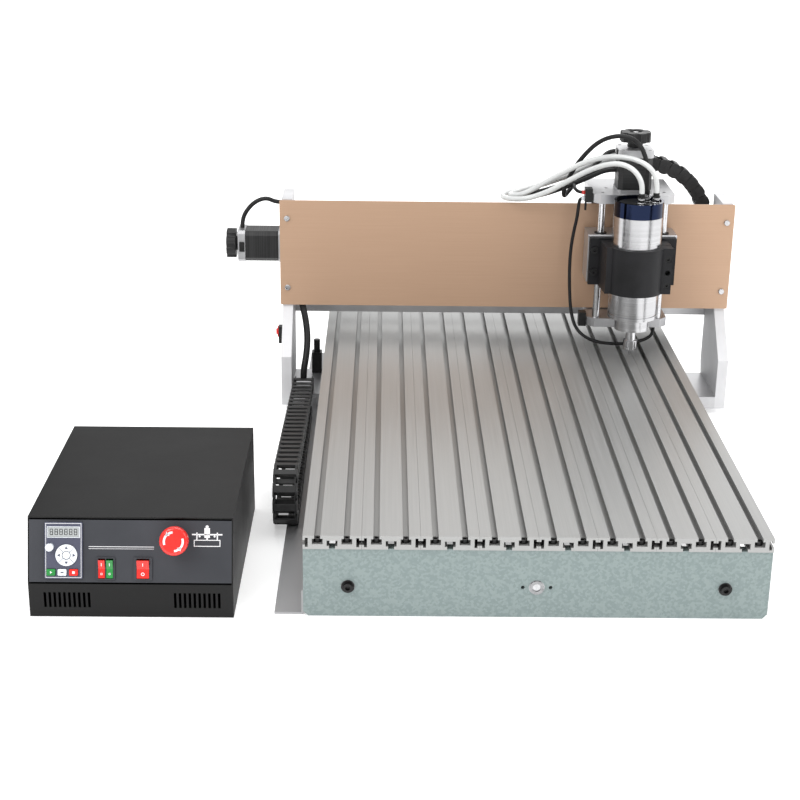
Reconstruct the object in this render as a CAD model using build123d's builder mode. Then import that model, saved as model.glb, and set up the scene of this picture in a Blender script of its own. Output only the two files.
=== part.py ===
"""Desktop gantry CNC router with its control box, in millimetres.

X runs across the bed, +Y from the front plate to the rear plate and +Z up.
The origin is on the floor, at the middle of the front plate's bottom edge.
The gantry travels along Y, the head's carriage along X and the spindle along Z.
"""

import os
from math import atan2
from math import cos
from math import radians
from math import sin
from math import tan

from build123d import *

os.makedirs("parts", exist_ok=True)

# ---------------------------------------------------------------- driving sizes
RUN = 0.1            # radial running clearance of a shaft or rod in its bore
CLEAR = 0.3          # clearance between loose neighbours

# bed
BED_L = 860          # length of the table slats
BED_BASE_Z = 76.6    # underside of the slats, top of the end plates
SLAT_W = 60
SLAT_COUNT = 8
SLAT_T = 15
SLAT_GAP = 0.2       # seam between two slats
OVERHANG = 2         # slats past the front face of the front plate
PLATE_T = 12         # front and rear plate
CORNER_CUT = 5
SLOT_MOUTH = 6.2     # opening of a T-slot
SLOT_HEAD_W = 11
SLOT_HEAD_H = 6
SLOT_LIP = 3.5
SIDE_MOUTH = 5       # sideways T-slot in the slat edges
SIDE_LIP = 2.4
SIDE_HEAD_W = 3
SIDE_HEAD_H = 10

# Y drive under the bed
Y_ROD_D = 16
Y_ROD_X = 194
DRIVE_Z = 34         # height of the Y rods and screw
SCREW_D = 16
JOURNAL_D = 8
BEARING_D = 16
BEARING_W = 5
MOTOR_S = 44         # square section of the X and Y motors
MOTOR_L = 56

# gantry
GANTRY_X = 8         # middle of the gantry
GANTRY_W = 616
SIDE_T = 14
FOOT_Z = 8
FOOT_Y = 596         # front edge of the side plates' feet
KNEE_Z = 78
SHOULDER_Y = 649
SHOULDER_Z = 136
GANTRY_TOP = 287
GANTRY_REAR = 712
BAR_T = 17           # crossbar thickness
BAR_L = 104
BAR_RELIEF_W = 34    # thinned end of the crossbar, over the cable chain
BAR_RELIEF_Z = 20
COVER_T = 2
COVER_SIDE = 3       # cover past the side plates
COVER_Z0 = 138
COVER_H = 147.5
COVER_EDGE = 22      # screw height from the cover's long edges
X_ROD_D = 16
X_DRIVE_Y = 682
X_DRIVE_Z = 216.5
X_ROD_RISE = 38      # rods above and below the X screw

# head
HEAD_X = 173         # middle of the head where it stands
HEAD_W = 110
HEAD_Y0 = 600        # front faces of the head plates
HEAD_Y1 = 704
HEAD_PLATE_T = 12
HEAD_CUT = 10
HEAD_BASE_Z = 136.5  # top of the bottom plate
HEAD_TOP_Z = 296     # underside of the top plate
CARRIAGE_W = 100
CARRIAGE_Y0 = 656
Z_ROD_D = 10
Z_ROD_X = 42
Z_ROD_Y = 608
Z_SCREW_D = 12
Z_SCREW_Y = 626
Z_MOTOR_S = 46
Z_MOTOR_H = 59
SLIDE_W = 119
SLIDE_Z0 = 189.5
SLIDE_H = 65
SLIDE_Y0 = 596
SLIDE_Y1 = 640
SPINDLE_D = 65
SPINDLE_Y = 562
SPINDLE_Z0 = 152.5
SPINDLE_L = 158
NOSE_D = 46
NOSE_L = 17
SHAFT_D = 13.5
SHAFT_LOW_Z = 119
NUT_D = 19
NUT_H = 12.5
BIT_D = 3.175
BIT_TIP_Z = 97.5
CLAMP_Z0 = 188
CLAMP_H = 62
KNOB_D = 41
KNOB_H = 13

# cable chains
CHAIN_W = 28
Y_CHAIN_H = 16
Y_CHAIN_X = -270.5
Y_CHAIN_BEND = 35.5  # outer radius
Y_CHAIN_BEND_Y = 220
Y_CHAIN_FIXED_Y = 566
Y_CHAIN_END_Y = 625
X_CHAIN_H = 20
X_CHAIN_BEND = 99.5
X_CHAIN_BEND_X = 205
X_CHAIN_FIXED_X = -10
X_CHAIN_END_X = 180
X_CHAIN_Z = 137.3

# control box
BOX_X0 = -520
BOX_W = 209
BOX_Y0 = -12
BOX_L = 275
BOX_H = 103
BOX_BEND_Z = 38
BOX_SET_BACK = 20    # top of the sloping front behind its foot
SHEET_T = 1.5
FACE_T = 2           # sloping front plate
KEYPAD_T = 2

# ---------------------------------------------------------------- derived places
BED_W = SLAT_W * SLAT_COUNT
PLATE_Y = PLATE_T / 2
BED_Y0 = -PLATE_Y - OVERHANG
BED_Y1 = BED_Y0 + BED_L
BED_TOP = BED_BASE_Z + SLAT_T
REAR_Y = BED_Y1 - OVERHANG - PLATE_T - 4 + PLATE_Y
SIDE_X0 = GANTRY_X - GANTRY_W / 2
SIDE_X1 = GANTRY_X + GANTRY_W / 2
INNER_X0 = SIDE_X0 + SIDE_T
INNER_X1 = SIDE_X1 - SIDE_T
BAR_TOP = FOOT_Z + BAR_T
HEAD_X0 = HEAD_X - HEAD_W / 2
HEAD_X1 = HEAD_X + HEAD_W / 2
HEAD_LID_Z = HEAD_TOP_Z + HEAD_PLATE_T
SLOT_XS = [-BED_W / 2 + SLAT_W / 4 + i * SLAT_W / 2 for i in range(2 * SLAT_COUNT)]

ALONG_X = (0, 90, 0)
ALONG_Y = (-90, 0, 0)
UPRIGHT = (0, 0, 0)
FROM_BASE = (Align.CENTER, Align.CENTER, Align.MIN)


def keep(piece, name):
    """Label a finished piece and write its STEP file."""
    piece.part.label = name
    export_step(piece.part, f"parts/{name}.step")


def block(xs, ys, zs, mode=Mode.ADD):
    """A box between its low and high limits on each axis."""
    with Locations(((xs[0] + xs[1]) / 2, (ys[0] + ys[1]) / 2, (zs[0] + zs[1]) / 2)):
        Box(xs[1] - xs[0], ys[1] - ys[0], zs[1] - zs[0], mode=mode)


def bar(diameter, start, length, turn=UPRIGHT, mode=Mode.ADD):
    """A round bar from its start along +Z, or along the turned axis."""
    with Locations(start):
        Cylinder(diameter / 2, length, rotation=turn, align=FROM_BASE, mode=mode)


# ================================================================ bed and base
def end_plate(name, y, plug_side):
    """Upright plate that closes one end of the bed, with its rod and screw holes."""
    with BuildPart() as plate:
        block((-BED_W / 2, BED_W / 2), (y - PLATE_Y, y + PLATE_Y), (0, BED_BASE_Z))
        foot_edges = plate.edges().filter_by(Axis.Y).group_by(Axis.Z)[0]
        chamfer(foot_edges, CORNER_CUT)
        for x in (-Y_ROD_X, Y_ROD_X):
            bar(ROD_BOLT_D, (x, y - PLATE_Y, DRIVE_Z), PLATE_T, ALONG_Y, Mode.SUBTRACT)
        bar(JOURNAL_D + 4, (0, y - PLATE_Y, DRIVE_Z), PLATE_T, ALONG_Y, Mode.SUBTRACT)
        seat_y = y - PLATE_Y if plug_side < 0 else y + PLATE_Y - BEARING_W
        bar(BEARING_D, (0, seat_y, DRIVE_Z), BEARING_W, ALONG_Y, Mode.SUBTRACT)
        for x in (-SIGHT_HOLE_X, SIGHT_HOLE_X):
            bar(4, (x, y - PLATE_Y, DRIVE_Z), PLATE_T, ALONG_Y, Mode.SUBTRACT)
        for x in SLOT_XS:
            bar(SLAT_BOLT_D, (x, y, BED_BASE_Z - SLAT_BOLT_GRIP), SLAT_BOLT_GRIP, mode=Mode.SUBTRACT)
    keep(plate, name)
    return plate


ROD_BOLT_D = 6
SLAT_BOLT_D = 5
SLAT_BOLT_GRIP = 12
SIGHT_HOLE_X = 14.3
front_plate = end_plate("front_plate", 0, -1)
rear_plate = end_plate("rear_plate", REAR_Y, -1)

SLOT_FLOOR_Z = BED_TOP - SLOT_LIP - SLOT_HEAD_H
with BuildPart() as table_slats:
    with BuildSketch(Plane.XZ.offset(-BED_Y1)):
        with Locations((0, BED_BASE_Z + SLAT_T / 2)):
            with GridLocations(SLAT_W, 1, SLAT_COUNT, 1):
                Rectangle(SLAT_W - SLAT_GAP, SLAT_T)
                for side in (-1, 1):
                    with Locations((side * SLAT_W / 4, SLAT_T / 2 - SLOT_LIP / 2)):
                        Rectangle(SLOT_MOUTH, SLOT_LIP, mode=Mode.SUBTRACT)
                    with Locations((side * SLAT_W / 4, SLAT_T / 2 - SLOT_LIP - SLOT_HEAD_H / 2)):
                        Rectangle(SLOT_HEAD_W, SLOT_HEAD_H, mode=Mode.SUBTRACT)
                    with Locations((side * (SLAT_W / 2 - SIDE_LIP / 2), 0)):
                        Rectangle(SIDE_LIP + 0.2, SIDE_MOUTH, mode=Mode.SUBTRACT)
                    with Locations((side * (SLAT_W / 2 - SIDE_LIP - SIDE_HEAD_W / 2), 0)):
                        Rectangle(SIDE_HEAD_W, SIDE_HEAD_H, mode=Mode.SUBTRACT)
                with Locations((0, -SLAT_T / 2 + SLOT_LIP / 2)):
                    Rectangle(SLOT_MOUTH, SLOT_LIP, mode=Mode.SUBTRACT)
                with Locations((0, -SLAT_T / 2 + SLOT_LIP + SLOT_HEAD_H / 2)):
                    Rectangle(SLOT_HEAD_W, SLOT_HEAD_H, mode=Mode.SUBTRACT)
    extrude(amount=BED_L)
    for x in SLOT_XS:
        for y in (0, REAR_Y):
            bar(SLAT_BOLT_D, (x, y, BED_BASE_Z), SLAT_T, mode=Mode.SUBTRACT)
keep(table_slats, "table_slats")

Y_ROD_L = REAR_Y - PLATE_T
ROD_THREAD_L = 14
with BuildPart() as y_guide_rods:
    for x in (-Y_ROD_X, Y_ROD_X):
        bar(Y_ROD_D, (x, PLATE_Y, DRIVE_Z), Y_ROD_L, ALONG_Y)
        bar(ROD_BOLT_D, (x, PLATE_Y, DRIVE_Z), ROD_THREAD_L, ALONG_Y, Mode.SUBTRACT)
        bar(ROD_BOLT_D, (x, REAR_Y - PLATE_Y - ROD_THREAD_L, DRIVE_Z), ROD_THREAD_L, ALONG_Y, Mode.SUBTRACT)
keep(y_guide_rods, "y_guide_rods")

SLAT_BOLT_HEAD_D = 8.5
SLAT_BOLT_HEAD_H = 4
ROD_BOLT_HEAD_D = 10
ROD_BOLT_HEAD_H = 4
WASHER_D = 14
WASHER_T = 1.5
with BuildPart() as base_screws:
    for x in SLOT_XS:
        for y in (0, REAR_Y):
            bar(SLAT_BOLT_D, (x, y, BED_BASE_Z - SLAT_BOLT_GRIP), SLOT_FLOOR_Z - BED_BASE_Z + SLAT_BOLT_GRIP)
            bar(SLAT_BOLT_HEAD_D, (x, y, SLOT_FLOOR_Z), SLAT_BOLT_HEAD_H)
            bar(4, (x, y, SLOT_FLOOR_Z + 1.5), SLAT_BOLT_HEAD_H, mode=Mode.SUBTRACT)
    for x in (-Y_ROD_X, Y_ROD_X):
        bar(ROD_BOLT_D, (x, -PLATE_Y, DRIVE_Z), PLATE_T + ROD_THREAD_L, ALONG_Y)
        bar(WASHER_D, (x, -PLATE_Y - WASHER_T, DRIVE_Z), WASHER_T, ALONG_Y)
        bar(ROD_BOLT_HEAD_D, (x, -PLATE_Y - WASHER_T - ROD_BOLT_HEAD_H, DRIVE_Z), ROD_BOLT_HEAD_H, ALONG_Y)
        bar(5, (x, -PLATE_Y - WASHER_T - ROD_BOLT_HEAD_H, DRIVE_Z), 3, ALONG_Y, Mode.SUBTRACT)
        bar(ROD_BOLT_D, (x, REAR_Y - PLATE_Y - ROD_THREAD_L, DRIVE_Z), PLATE_T + ROD_THREAD_L, ALONG_Y)
        bar(WASHER_D, (x, REAR_Y + PLATE_Y, DRIVE_Z), WASHER_T, ALONG_Y)
        bar(ROD_BOLT_HEAD_D, (x, REAR_Y + PLATE_Y + WASHER_T, DRIVE_Z), ROD_BOLT_HEAD_H, ALONG_Y)
        bar(5, (x, REAR_Y + PLATE_Y + WASHER_T + 1, DRIVE_Z), 3, ALONG_Y, Mode.SUBTRACT)
keep(base_screws, "base_screws")

TRAY_W = 30
TRAY_T = 2
TRAY_TAB_H = 27
TRAY_TAB_L = 28
TRAY_Y0 = -3
TRAY_Y1 = REAR_Y + 3
TRAY_X1 = -BED_W / 2
with BuildPart() as cable_tray:
    block((TRAY_X1 - TRAY_W, TRAY_X1), (TRAY_Y0, TRAY_Y1), (0, TRAY_T))
    block((TRAY_X1 - TRAY_T, TRAY_X1), (TRAY_Y0, TRAY_Y0 + TRAY_TAB_L), (0, TRAY_TAB_H))
    block((TRAY_X1 - TRAY_T, TRAY_X1), (TRAY_Y1 - TRAY_TAB_L, TRAY_Y1), (0, TRAY_TAB_H))
keep(cable_tray, "cable_tray")

with BuildPart() as y_screw_bearings:
    for y in (-PLATE_Y, REAR_Y - PLATE_Y):
        bar(BEARING_D, (0, y, DRIVE_Z), BEARING_W, ALONG_Y)
        bar(JOURNAL_D + 2 * RUN, (0, y, DRIVE_Z), BEARING_W, ALONG_Y, Mode.SUBTRACT)
keep(y_screw_bearings, "y_screw_bearings")

MOTOR_FLANGE = 6
MOTOR_CAP = 10
MOTOR_CUT = 4
CAN_INSET = 0.8


def motor(name, face, side, length, cut):
    """Square stepping motor that grows from its flange along the plane's normal."""
    with BuildPart() as body:
        with BuildSketch(face):
            RectangleRounded(side, side, cut)
        extrude(amount=MOTOR_FLANGE)
        with BuildSketch(face.offset(MOTOR_FLANGE)):
            RectangleRounded(side - 2 * CAN_INSET, side - 2 * CAN_INSET, cut)
        extrude(amount=length - MOTOR_FLANGE - MOTOR_CAP)
        with BuildSketch(face.offset(length - MOTOR_CAP)):
            RectangleRounded(side, side, cut)
        extrude(amount=MOTOR_CAP)
        with BuildSketch(face):
            Circle(JOURNAL_D / 2 + RUN)
        extrude(amount=length, mode=Mode.SUBTRACT)
    keep(body, name)
    return body


Y_MOTOR_FACE = Plane((0, REAR_Y + PLATE_Y, DRIVE_Z), x_dir=(-1, 0, 0), z_dir=(0, 1, 0))
y_motor = motor("y_motor", Y_MOTOR_FACE, MOTOR_S, MOTOR_L, MOTOR_CUT)

Y_CHAIN_Z = TRAY_T + 0.2
Y_CHAIN_X0 = Y_CHAIN_X - CHAIN_W / 2
Y_BEND_Z = Y_CHAIN_Z + Y_CHAIN_BEND
Y_CHAIN_REST_Z = BAR_TOP + 0.2
Y_CHAIN_FLAT_Y = FOOT_Y + 6
with BuildPart() as y_chain:
    with BuildSketch(Plane.YZ.offset(Y_CHAIN_X0)):
        with Locations((Y_CHAIN_BEND_Y, Y_BEND_Z)):
            Circle(Y_CHAIN_BEND)
            Circle(Y_CHAIN_BEND - Y_CHAIN_H, mode=Mode.SUBTRACT)
        with Locations((Y_CHAIN_BEND_Y + Y_CHAIN_BEND / 2 + 1, Y_BEND_Z)):
            Rectangle(Y_CHAIN_BEND + 2, 2 * Y_CHAIN_BEND + 2, mode=Mode.SUBTRACT)
        with BuildLine():
            Polyline(
                (Y_CHAIN_BEND_Y, Y_CHAIN_Z),
                (Y_CHAIN_FIXED_Y, Y_CHAIN_Z),
                (Y_CHAIN_FIXED_Y, Y_CHAIN_Z + Y_CHAIN_H),
                (Y_CHAIN_BEND_Y, Y_CHAIN_Z + Y_CHAIN_H),
                close=True,
            )
        make_face()
        with BuildLine():
            Polyline(
                (Y_CHAIN_BEND_Y, Y_BEND_Z + Y_CHAIN_BEND - Y_CHAIN_H),
                (Y_CHAIN_FLAT_Y, Y_CHAIN_REST_Z),
                (Y_CHAIN_END_Y, Y_CHAIN_REST_Z),
                (Y_CHAIN_END_Y, Y_CHAIN_REST_Z + Y_CHAIN_H),
                (Y_CHAIN_FLAT_Y, Y_CHAIN_REST_Z + Y_CHAIN_H),
                (Y_CHAIN_BEND_Y, Y_BEND_Z + Y_CHAIN_BEND),
                close=True,
            )
        make_face()
    extrude(amount=CHAIN_W)
keep(y_chain, "y_chain")

# ================================================================ control box
BOX_X1 = BOX_X0 + BOX_W
BOX_Y1 = BOX_Y0 + BOX_L
BOX_MID_X = (BOX_X0 + BOX_X1) / 2
FACE_TILT = atan2(BOX_SET_BACK, BOX_H - BOX_BEND_Z)
FACE_L = ((BOX_H - BOX_BEND_Z) ** 2 + BOX_SET_BACK**2) ** 0.5
FACE_NORMAL = (0, BOX_BEND_Z - BOX_H, BOX_SET_BACK)
FACE = Plane((BOX_MID_X, BOX_Y0, BOX_BEND_Z), x_dir=(1, 0, 0), z_dir=FACE_NORMAL)
SIDE_OUTLINE = [
    (BOX_Y0, 0),
    (BOX_Y0, BOX_BEND_Z),
    (BOX_Y0 + BOX_SET_BACK, BOX_H),
    (BOX_Y1, BOX_H),
    (BOX_Y1, 0),
]

with BuildPart() as controller_shell:
    for x in (BOX_X0, BOX_X1 - SHEET_T):
        with BuildSketch(Plane.YZ.offset(x)):
            with BuildLine():
                Polyline(*SIDE_OUTLINE, close=True)
            make_face()
        extrude(amount=SHEET_T)
    block((BOX_X0, BOX_X1), (BOX_Y0 + BOX_SET_BACK, BOX_Y1), (BOX_H - SHEET_T, BOX_H))
keep(controller_shell, "controller_shell")

IN_X0 = BOX_X0 + SHEET_T
IN_X1 = BOX_X1 - SHEET_T
VENT_W = 2.6
VENT_H = 17
VENT_PITCH = 5
VENT_COUNT = 10
VENT_Z = 19
VENT_XS = [BOX_X0 + 39, BOX_X1 - 37]
with BuildPart() as controller_chassis:
    block((IN_X0, IN_X1), (BOX_Y0, BOX_Y1), (0, SHEET_T))
    block((IN_X0, IN_X1), (BOX_Y0, BOX_Y0 + SHEET_T), (0, BOX_BEND_Z - 1))
    block((IN_X0, IN_X1), (BOX_Y1 - SHEET_T, BOX_Y1), (0, BOX_H - SHEET_T))
    for x in VENT_XS:
        with Locations((x, BOX_Y0 + SHEET_T / 2, VENT_Z)):
            with GridLocations(VENT_PITCH, 1, VENT_COUNT, 1):
                Box(VENT_W, 4 * SHEET_T, VENT_H, mode=Mode.SUBTRACT)
keep(controller_chassis, "controller_chassis")

KEYPAD_U = -67.7
KEYPAD_V = 33.8
KEYPAD_W = 38.6
KEYPAD_H = 58
PAD_U = -64.6
PAD_V = 29.1
PAD_D = 22
PAD_HOLE_D = 8.6
CENTRE_KEY_D = 7.6
KEY_US = [-80.3, -68.9, -57.3]
KEY_V = 11.5
KEY_W = 8.8
KEY_H = 6.6
DIAL_U = -81.3
DIAL_V = 37.4
DIAL_D = 8
DIAL_STEM_D = 4
SWITCH_V = 15.3
BEZEL_W = 19
BEZEL_H = 23.6
BEZEL_T = 1.5
POWER_U = 12.9
TWIN_U = -25
TWIN_GAP = 8.2
ROCKER_L = 18.6
POWER_W = 12.4
TWIN_W = 6.6
ROCKER_OPEN = 20.8
ROCKER_TILT = 7      # rest tilt of a rocker about its pivot
ROCKER_PIVOT_DEPTH = 0.25
ROCKER_PIN_D = 1.6
ROCKER_PIN_L = 0.4   # pivot pin inside the opening's wall
STOP_U = 46.5
STOP_V = 46.5
STOP_D = 29.4
STOP_STEM_D = 12
STOP_COLLAR_D = 24
STOP_COLLAR_H = 5
POCKET_W = 36
POCKET_H = 52

with BuildPart() as controller_front:
    with BuildSketch(FACE.offset(-FACE_T)):
        with Locations((0, FACE_L / 2 - 1)):
            Rectangle(IN_X1 - IN_X0, FACE_L - 4)
    extrude(amount=FACE_T)
    with BuildSketch(FACE):
        with Locations((POWER_U, SWITCH_V), (TWIN_U, SWITCH_V)):
            RectangleRounded(BEZEL_W, BEZEL_H, 1.5)
    extrude(amount=BEZEL_T)
    with BuildSketch(FACE):
        with Locations((STOP_U, STOP_V)):
            Circle(STOP_COLLAR_D / 2)
    extrude(amount=STOP_COLLAR_H)
    with BuildSketch(FACE.offset(-FACE_T)):
        with Locations((POWER_U, SWITCH_V)):
            Rectangle(POWER_W + 2 * CLEAR, ROCKER_OPEN)
        with Locations((TWIN_U - TWIN_GAP / 2, SWITCH_V), (TWIN_U + TWIN_GAP / 2, SWITCH_V)):
            Rectangle(TWIN_W + 2 * CLEAR, ROCKER_OPEN)
        with Locations((STOP_U, STOP_V)):
            Circle(STOP_STEM_D / 2 + CLEAR)
        with Locations((KEYPAD_U, KEYPAD_V)):
            Rectangle(POCKET_W, POCKET_H)
    extrude(amount=FACE_T + STOP_COLLAR_H, mode=Mode.SUBTRACT)
    pivot_y = BOX_Y0 + SWITCH_V * FACE.y_dir.Y - ROCKER_PIVOT_DEPTH * FACE.z_dir.Y
    pivot_z = BOX_BEND_Z + SWITCH_V * FACE.y_dir.Z - ROCKER_PIVOT_DEPTH * FACE.z_dir.Z
    for u, span in ((POWER_U, POWER_W), (TWIN_U, TWIN_W + TWIN_GAP)):
        half = span / 2 + CLEAR + ROCKER_PIN_L + 0.1
        pivot = (BOX_MID_X + u - half, pivot_y, pivot_z)
        bar(ROCKER_PIN_D + RUN, pivot, 2 * half, ALONG_X, Mode.SUBTRACT)
keep(controller_front, "controller_front")

DISPLAY_V = 52.6
DISPLAY_W = 32.4
DISPLAY_H = 10.4
with BuildPart() as keypad_plate:
    with BuildSketch(FACE):
        with Locations((KEYPAD_U, KEYPAD_V)):
            RectangleRounded(KEYPAD_W, KEYPAD_H, 1.5)
        with Locations((PAD_U, PAD_V)):
            Circle(PAD_D / 2 + CLEAR, mode=Mode.SUBTRACT)
        with Locations((DIAL_U, DIAL_V)):
            Circle(DIAL_STEM_D / 2 + RUN, mode=Mode.SUBTRACT)
        with Locations(*[(u, KEY_V) for u in KEY_US]):
            Rectangle(KEY_W + 2 * CLEAR, KEY_H + 2 * CLEAR, mode=Mode.SUBTRACT)
    extrude(amount=KEYPAD_T)
    with BuildSketch(FACE.offset(KEYPAD_T - 0.6)):
        with Locations((KEYPAD_U, DISPLAY_V)):
            Rectangle(DISPLAY_W, DISPLAY_H)
    extrude(amount=1, mode=Mode.SUBTRACT)
keep(keypad_plate, "keypad_plate")

BOARD_POST_H = 8
with BuildPart() as controller_board:
    block((BOX_MID_X - 80, BOX_MID_X + 70), (BOX_Y0 + 90, BOX_Y0 + 230), (SHEET_T + BOARD_POST_H, SHEET_T + BOARD_POST_H + 1.6))
    with Locations((BOX_MID_X - 5, BOX_Y0 + 160, SHEET_T)):
        with GridLocations(136, 126, 2, 2):
            Cylinder(3, BOARD_POST_H, align=FROM_BASE)
    for i in range(4):
        x = BOX_MID_X - 60 + i * 32
        block((x, x + 24), (BOX_Y0 + 110, BOX_Y0 + 190), (SHEET_T + BOARD_POST_H + 1.6, SHEET_T + BOARD_POST_H + 26))
keep(controller_board, "controller_board")

STOP_HEAD_Z = 10
STOP_HEAD_H = 12
STOP_REACH = 14
with BuildPart() as estop_button:
    with BuildSketch(FACE.offset(-STOP_REACH)):
        with Locations((STOP_U, STOP_V)):
            Circle(STOP_STEM_D / 2)
    extrude(amount=STOP_REACH + STOP_HEAD_Z + 2)
    with BuildSketch(FACE.offset(STOP_HEAD_Z)):
        with Locations((STOP_U, STOP_V)):
            Circle(STOP_D / 2)
    extrude(amount=STOP_HEAD_H)
    fillet(estop_button.edges().filter_by(GeomType.CIRCLE).sort_by(SortBy.RADIUS)[-2:], 3.5)
keep(estop_button, "estop_button")

def rocker(name, u, width):
    """Rocker key, dished on top, tipped about its pivot below the front plate."""
    centre = FACE.offset(-ROCKER_PIVOT_DEPTH).from_local_coords((u, SWITCH_V, 0))
    lean = radians(ROCKER_TILT)
    along = FACE.y_dir * cos(lean) + FACE.z_dir * sin(lean)
    tipped = Plane(centre, x_dir=along, z_dir=FACE.x_dir)
    with BuildPart() as key:
        with BuildSketch(tipped.offset(-width / 2)):
            with BuildLine():
                Polyline(
                    (-ROCKER_L / 2 + 1, -4.5),
                    (ROCKER_L / 2 - 1, -4.5),
                    (ROCKER_L / 2, 3.3),
                    (0, 1.7),
                    (-ROCKER_L / 2, 3.3),
                    close=True,
                )
            make_face()
        extrude(amount=width)
        with BuildSketch(tipped.offset(-width / 2 - CLEAR - ROCKER_PIN_L)):
            Circle(ROCKER_PIN_D / 2)
        extrude(amount=width + 2 * CLEAR + 2 * ROCKER_PIN_L)
    keep(key, name)
    return key


power_rocker = rocker("power_rocker", POWER_U, POWER_W)
pump_rocker = rocker("pump_rocker", TWIN_U - TWIN_GAP / 2, TWIN_W)
spindle_rocker = rocker("spindle_rocker", TWIN_U + TWIN_GAP / 2, TWIN_W)

DIAL_H = 5
with BuildPart() as speed_knob:
    with BuildSketch(FACE.offset(-1)):
        with Locations((DIAL_U, DIAL_V)):
            Circle(DIAL_STEM_D / 2)
    extrude(amount=KEYPAD_T + 2)
    with BuildSketch(FACE.offset(KEYPAD_T + RUN)):
        with Locations((DIAL_U, DIAL_V)):
            Circle(DIAL_D / 2)
            with Locations((0, DIAL_D / 2)):
                Rectangle(1, 1.6, mode=Mode.SUBTRACT)
    extrude(amount=DIAL_H)
keep(speed_knob, "speed_knob")

KEY_STAND = 1.4      # keys above the keypad plate
KEY_DEPTH = 0.8      # keys below the plate's underside
with BuildPart() as arrow_pad:
    with BuildSketch(FACE.offset(-KEY_DEPTH)):
        with Locations((PAD_U, PAD_V)):
            Circle(PAD_D / 2)
            Circle(PAD_HOLE_D / 2, mode=Mode.SUBTRACT)
    extrude(amount=KEY_DEPTH + KEYPAD_T + KEY_STAND)
keep(arrow_pad, "arrow_pad")

with BuildPart() as centre_key:
    with BuildSketch(FACE.offset(-KEY_DEPTH)):
        with Locations((PAD_U, PAD_V)):
            Circle(CENTRE_KEY_D / 2)
    extrude(amount=KEY_DEPTH + KEYPAD_T + KEY_STAND)
keep(centre_key, "centre_key")

for key_name, key_u in zip(("start_key", "mode_key", "stop_key"), KEY_US):
    with BuildPart() as small_key:
        with BuildSketch(FACE.offset(-KEY_DEPTH)):
            with Locations((key_u, KEY_V)):
                RectangleRounded(KEY_W, KEY_H, 1)
        extrude(amount=KEY_DEPTH + KEYPAD_T + KEY_STAND)
    keep(small_key, key_name)

# ================================================================ gantry
SIDE_PROFILE = [
    (FOOT_Y, FOOT_Z),
    (FOOT_Y, KNEE_Z),
    (SHOULDER_Y, SHOULDER_Z),
    (SHOULDER_Y, GANTRY_TOP),
    (GANTRY_REAR, GANTRY_TOP),
    (GANTRY_REAR, FOOT_Z + 32),
    (FOOT_Y + BAR_L, FOOT_Z),
]
GROMMET_Z = 275
GROMMET_D = 7
COVER_BOLT_D = 4
COVER_BOLT_ZS = [COVER_Z0 + COVER_EDGE + 3, COVER_Z0 + COVER_H - COVER_EDGE - 3]
LUG_Y = 664
LUG_Z = 176


def side_plate(name, x, is_motor_side):
    """Upright side plate of the gantry, from its foot to the top of the cover."""
    with BuildPart() as plate:
        with BuildSketch(Plane.YZ.offset(x)):
            with BuildLine():
                Polyline(*SIDE_PROFILE, close=True)
            make_face()
        extrude(amount=SIDE_T)
        bar(JOURNAL_D + 2 * RUN, (x, X_DRIVE_Y, X_DRIVE_Z), SIDE_T, ALONG_X, Mode.SUBTRACT)
        for z in COVER_BOLT_ZS:
            bar(COVER_BOLT_D, (x + SIDE_T / 2, SHOULDER_Y, z), 14, ALONG_Y, Mode.SUBTRACT)
        if is_motor_side:
            bar(GROMMET_D, (x, X_DRIVE_Y, GROMMET_Z), SIDE_T, ALONG_X, Mode.SUBTRACT)
            block((x + SIDE_T, x + SIDE_T + 16), (LUG_Y - 7, LUG_Y + 7), (LUG_Z, LUG_Z + 10))
    keep(plate, name)
    return plate


side_plate_left = side_plate("side_plate_left", SIDE_X0, True)
side_plate_right = side_plate("side_plate_right", INNER_X1, False)

BLOCK_W = 36
BLOCK_L = 36
BLOCK_H = 38
BLOCK_YS = [FOOT_Y + 4, FOOT_Y + BAR_L - 4 - BLOCK_L]
BLOCK_Z0 = DRIVE_Z - 20
NUT_Y = FOOT_Y + BAR_L / 2 - BLOCK_L / 2
with BuildPart() as crossbar:
    block((INNER_X0, INNER_X1), (FOOT_Y, FOOT_Y + BAR_L), (FOOT_Z, BAR_TOP))
    block((INNER_X0, INNER_X0 + BAR_RELIEF_W), (FOOT_Y, FOOT_Y + BAR_L), (FOOT_Z, BAR_RELIEF_Z), Mode.SUBTRACT)
    for x in (-Y_ROD_X, Y_ROD_X):
        for y in BLOCK_YS:
            block((x - BLOCK_W / 2, x + BLOCK_W / 2), (y, y + BLOCK_L), (BLOCK_Z0, BAR_TOP), Mode.SUBTRACT)
        channel = (x - Y_ROD_D / 2 - 2, x + Y_ROD_D / 2 + 2)
        block(channel, (FOOT_Y, FOOT_Y + BAR_L), (DRIVE_Z - Y_ROD_D / 2 - 2, BAR_TOP), Mode.SUBTRACT)
    block((-BLOCK_W / 2, BLOCK_W / 2), (NUT_Y, NUT_Y + BLOCK_L), (BLOCK_Z0, BAR_TOP), Mode.SUBTRACT)
    block((-SCREW_D / 2 - 2, SCREW_D / 2 + 2), (FOOT_Y, FOOT_Y + BAR_L), (DRIVE_Z - SCREW_D / 2 - 2, BAR_TOP), Mode.SUBTRACT)
keep(crossbar, "crossbar")

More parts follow.
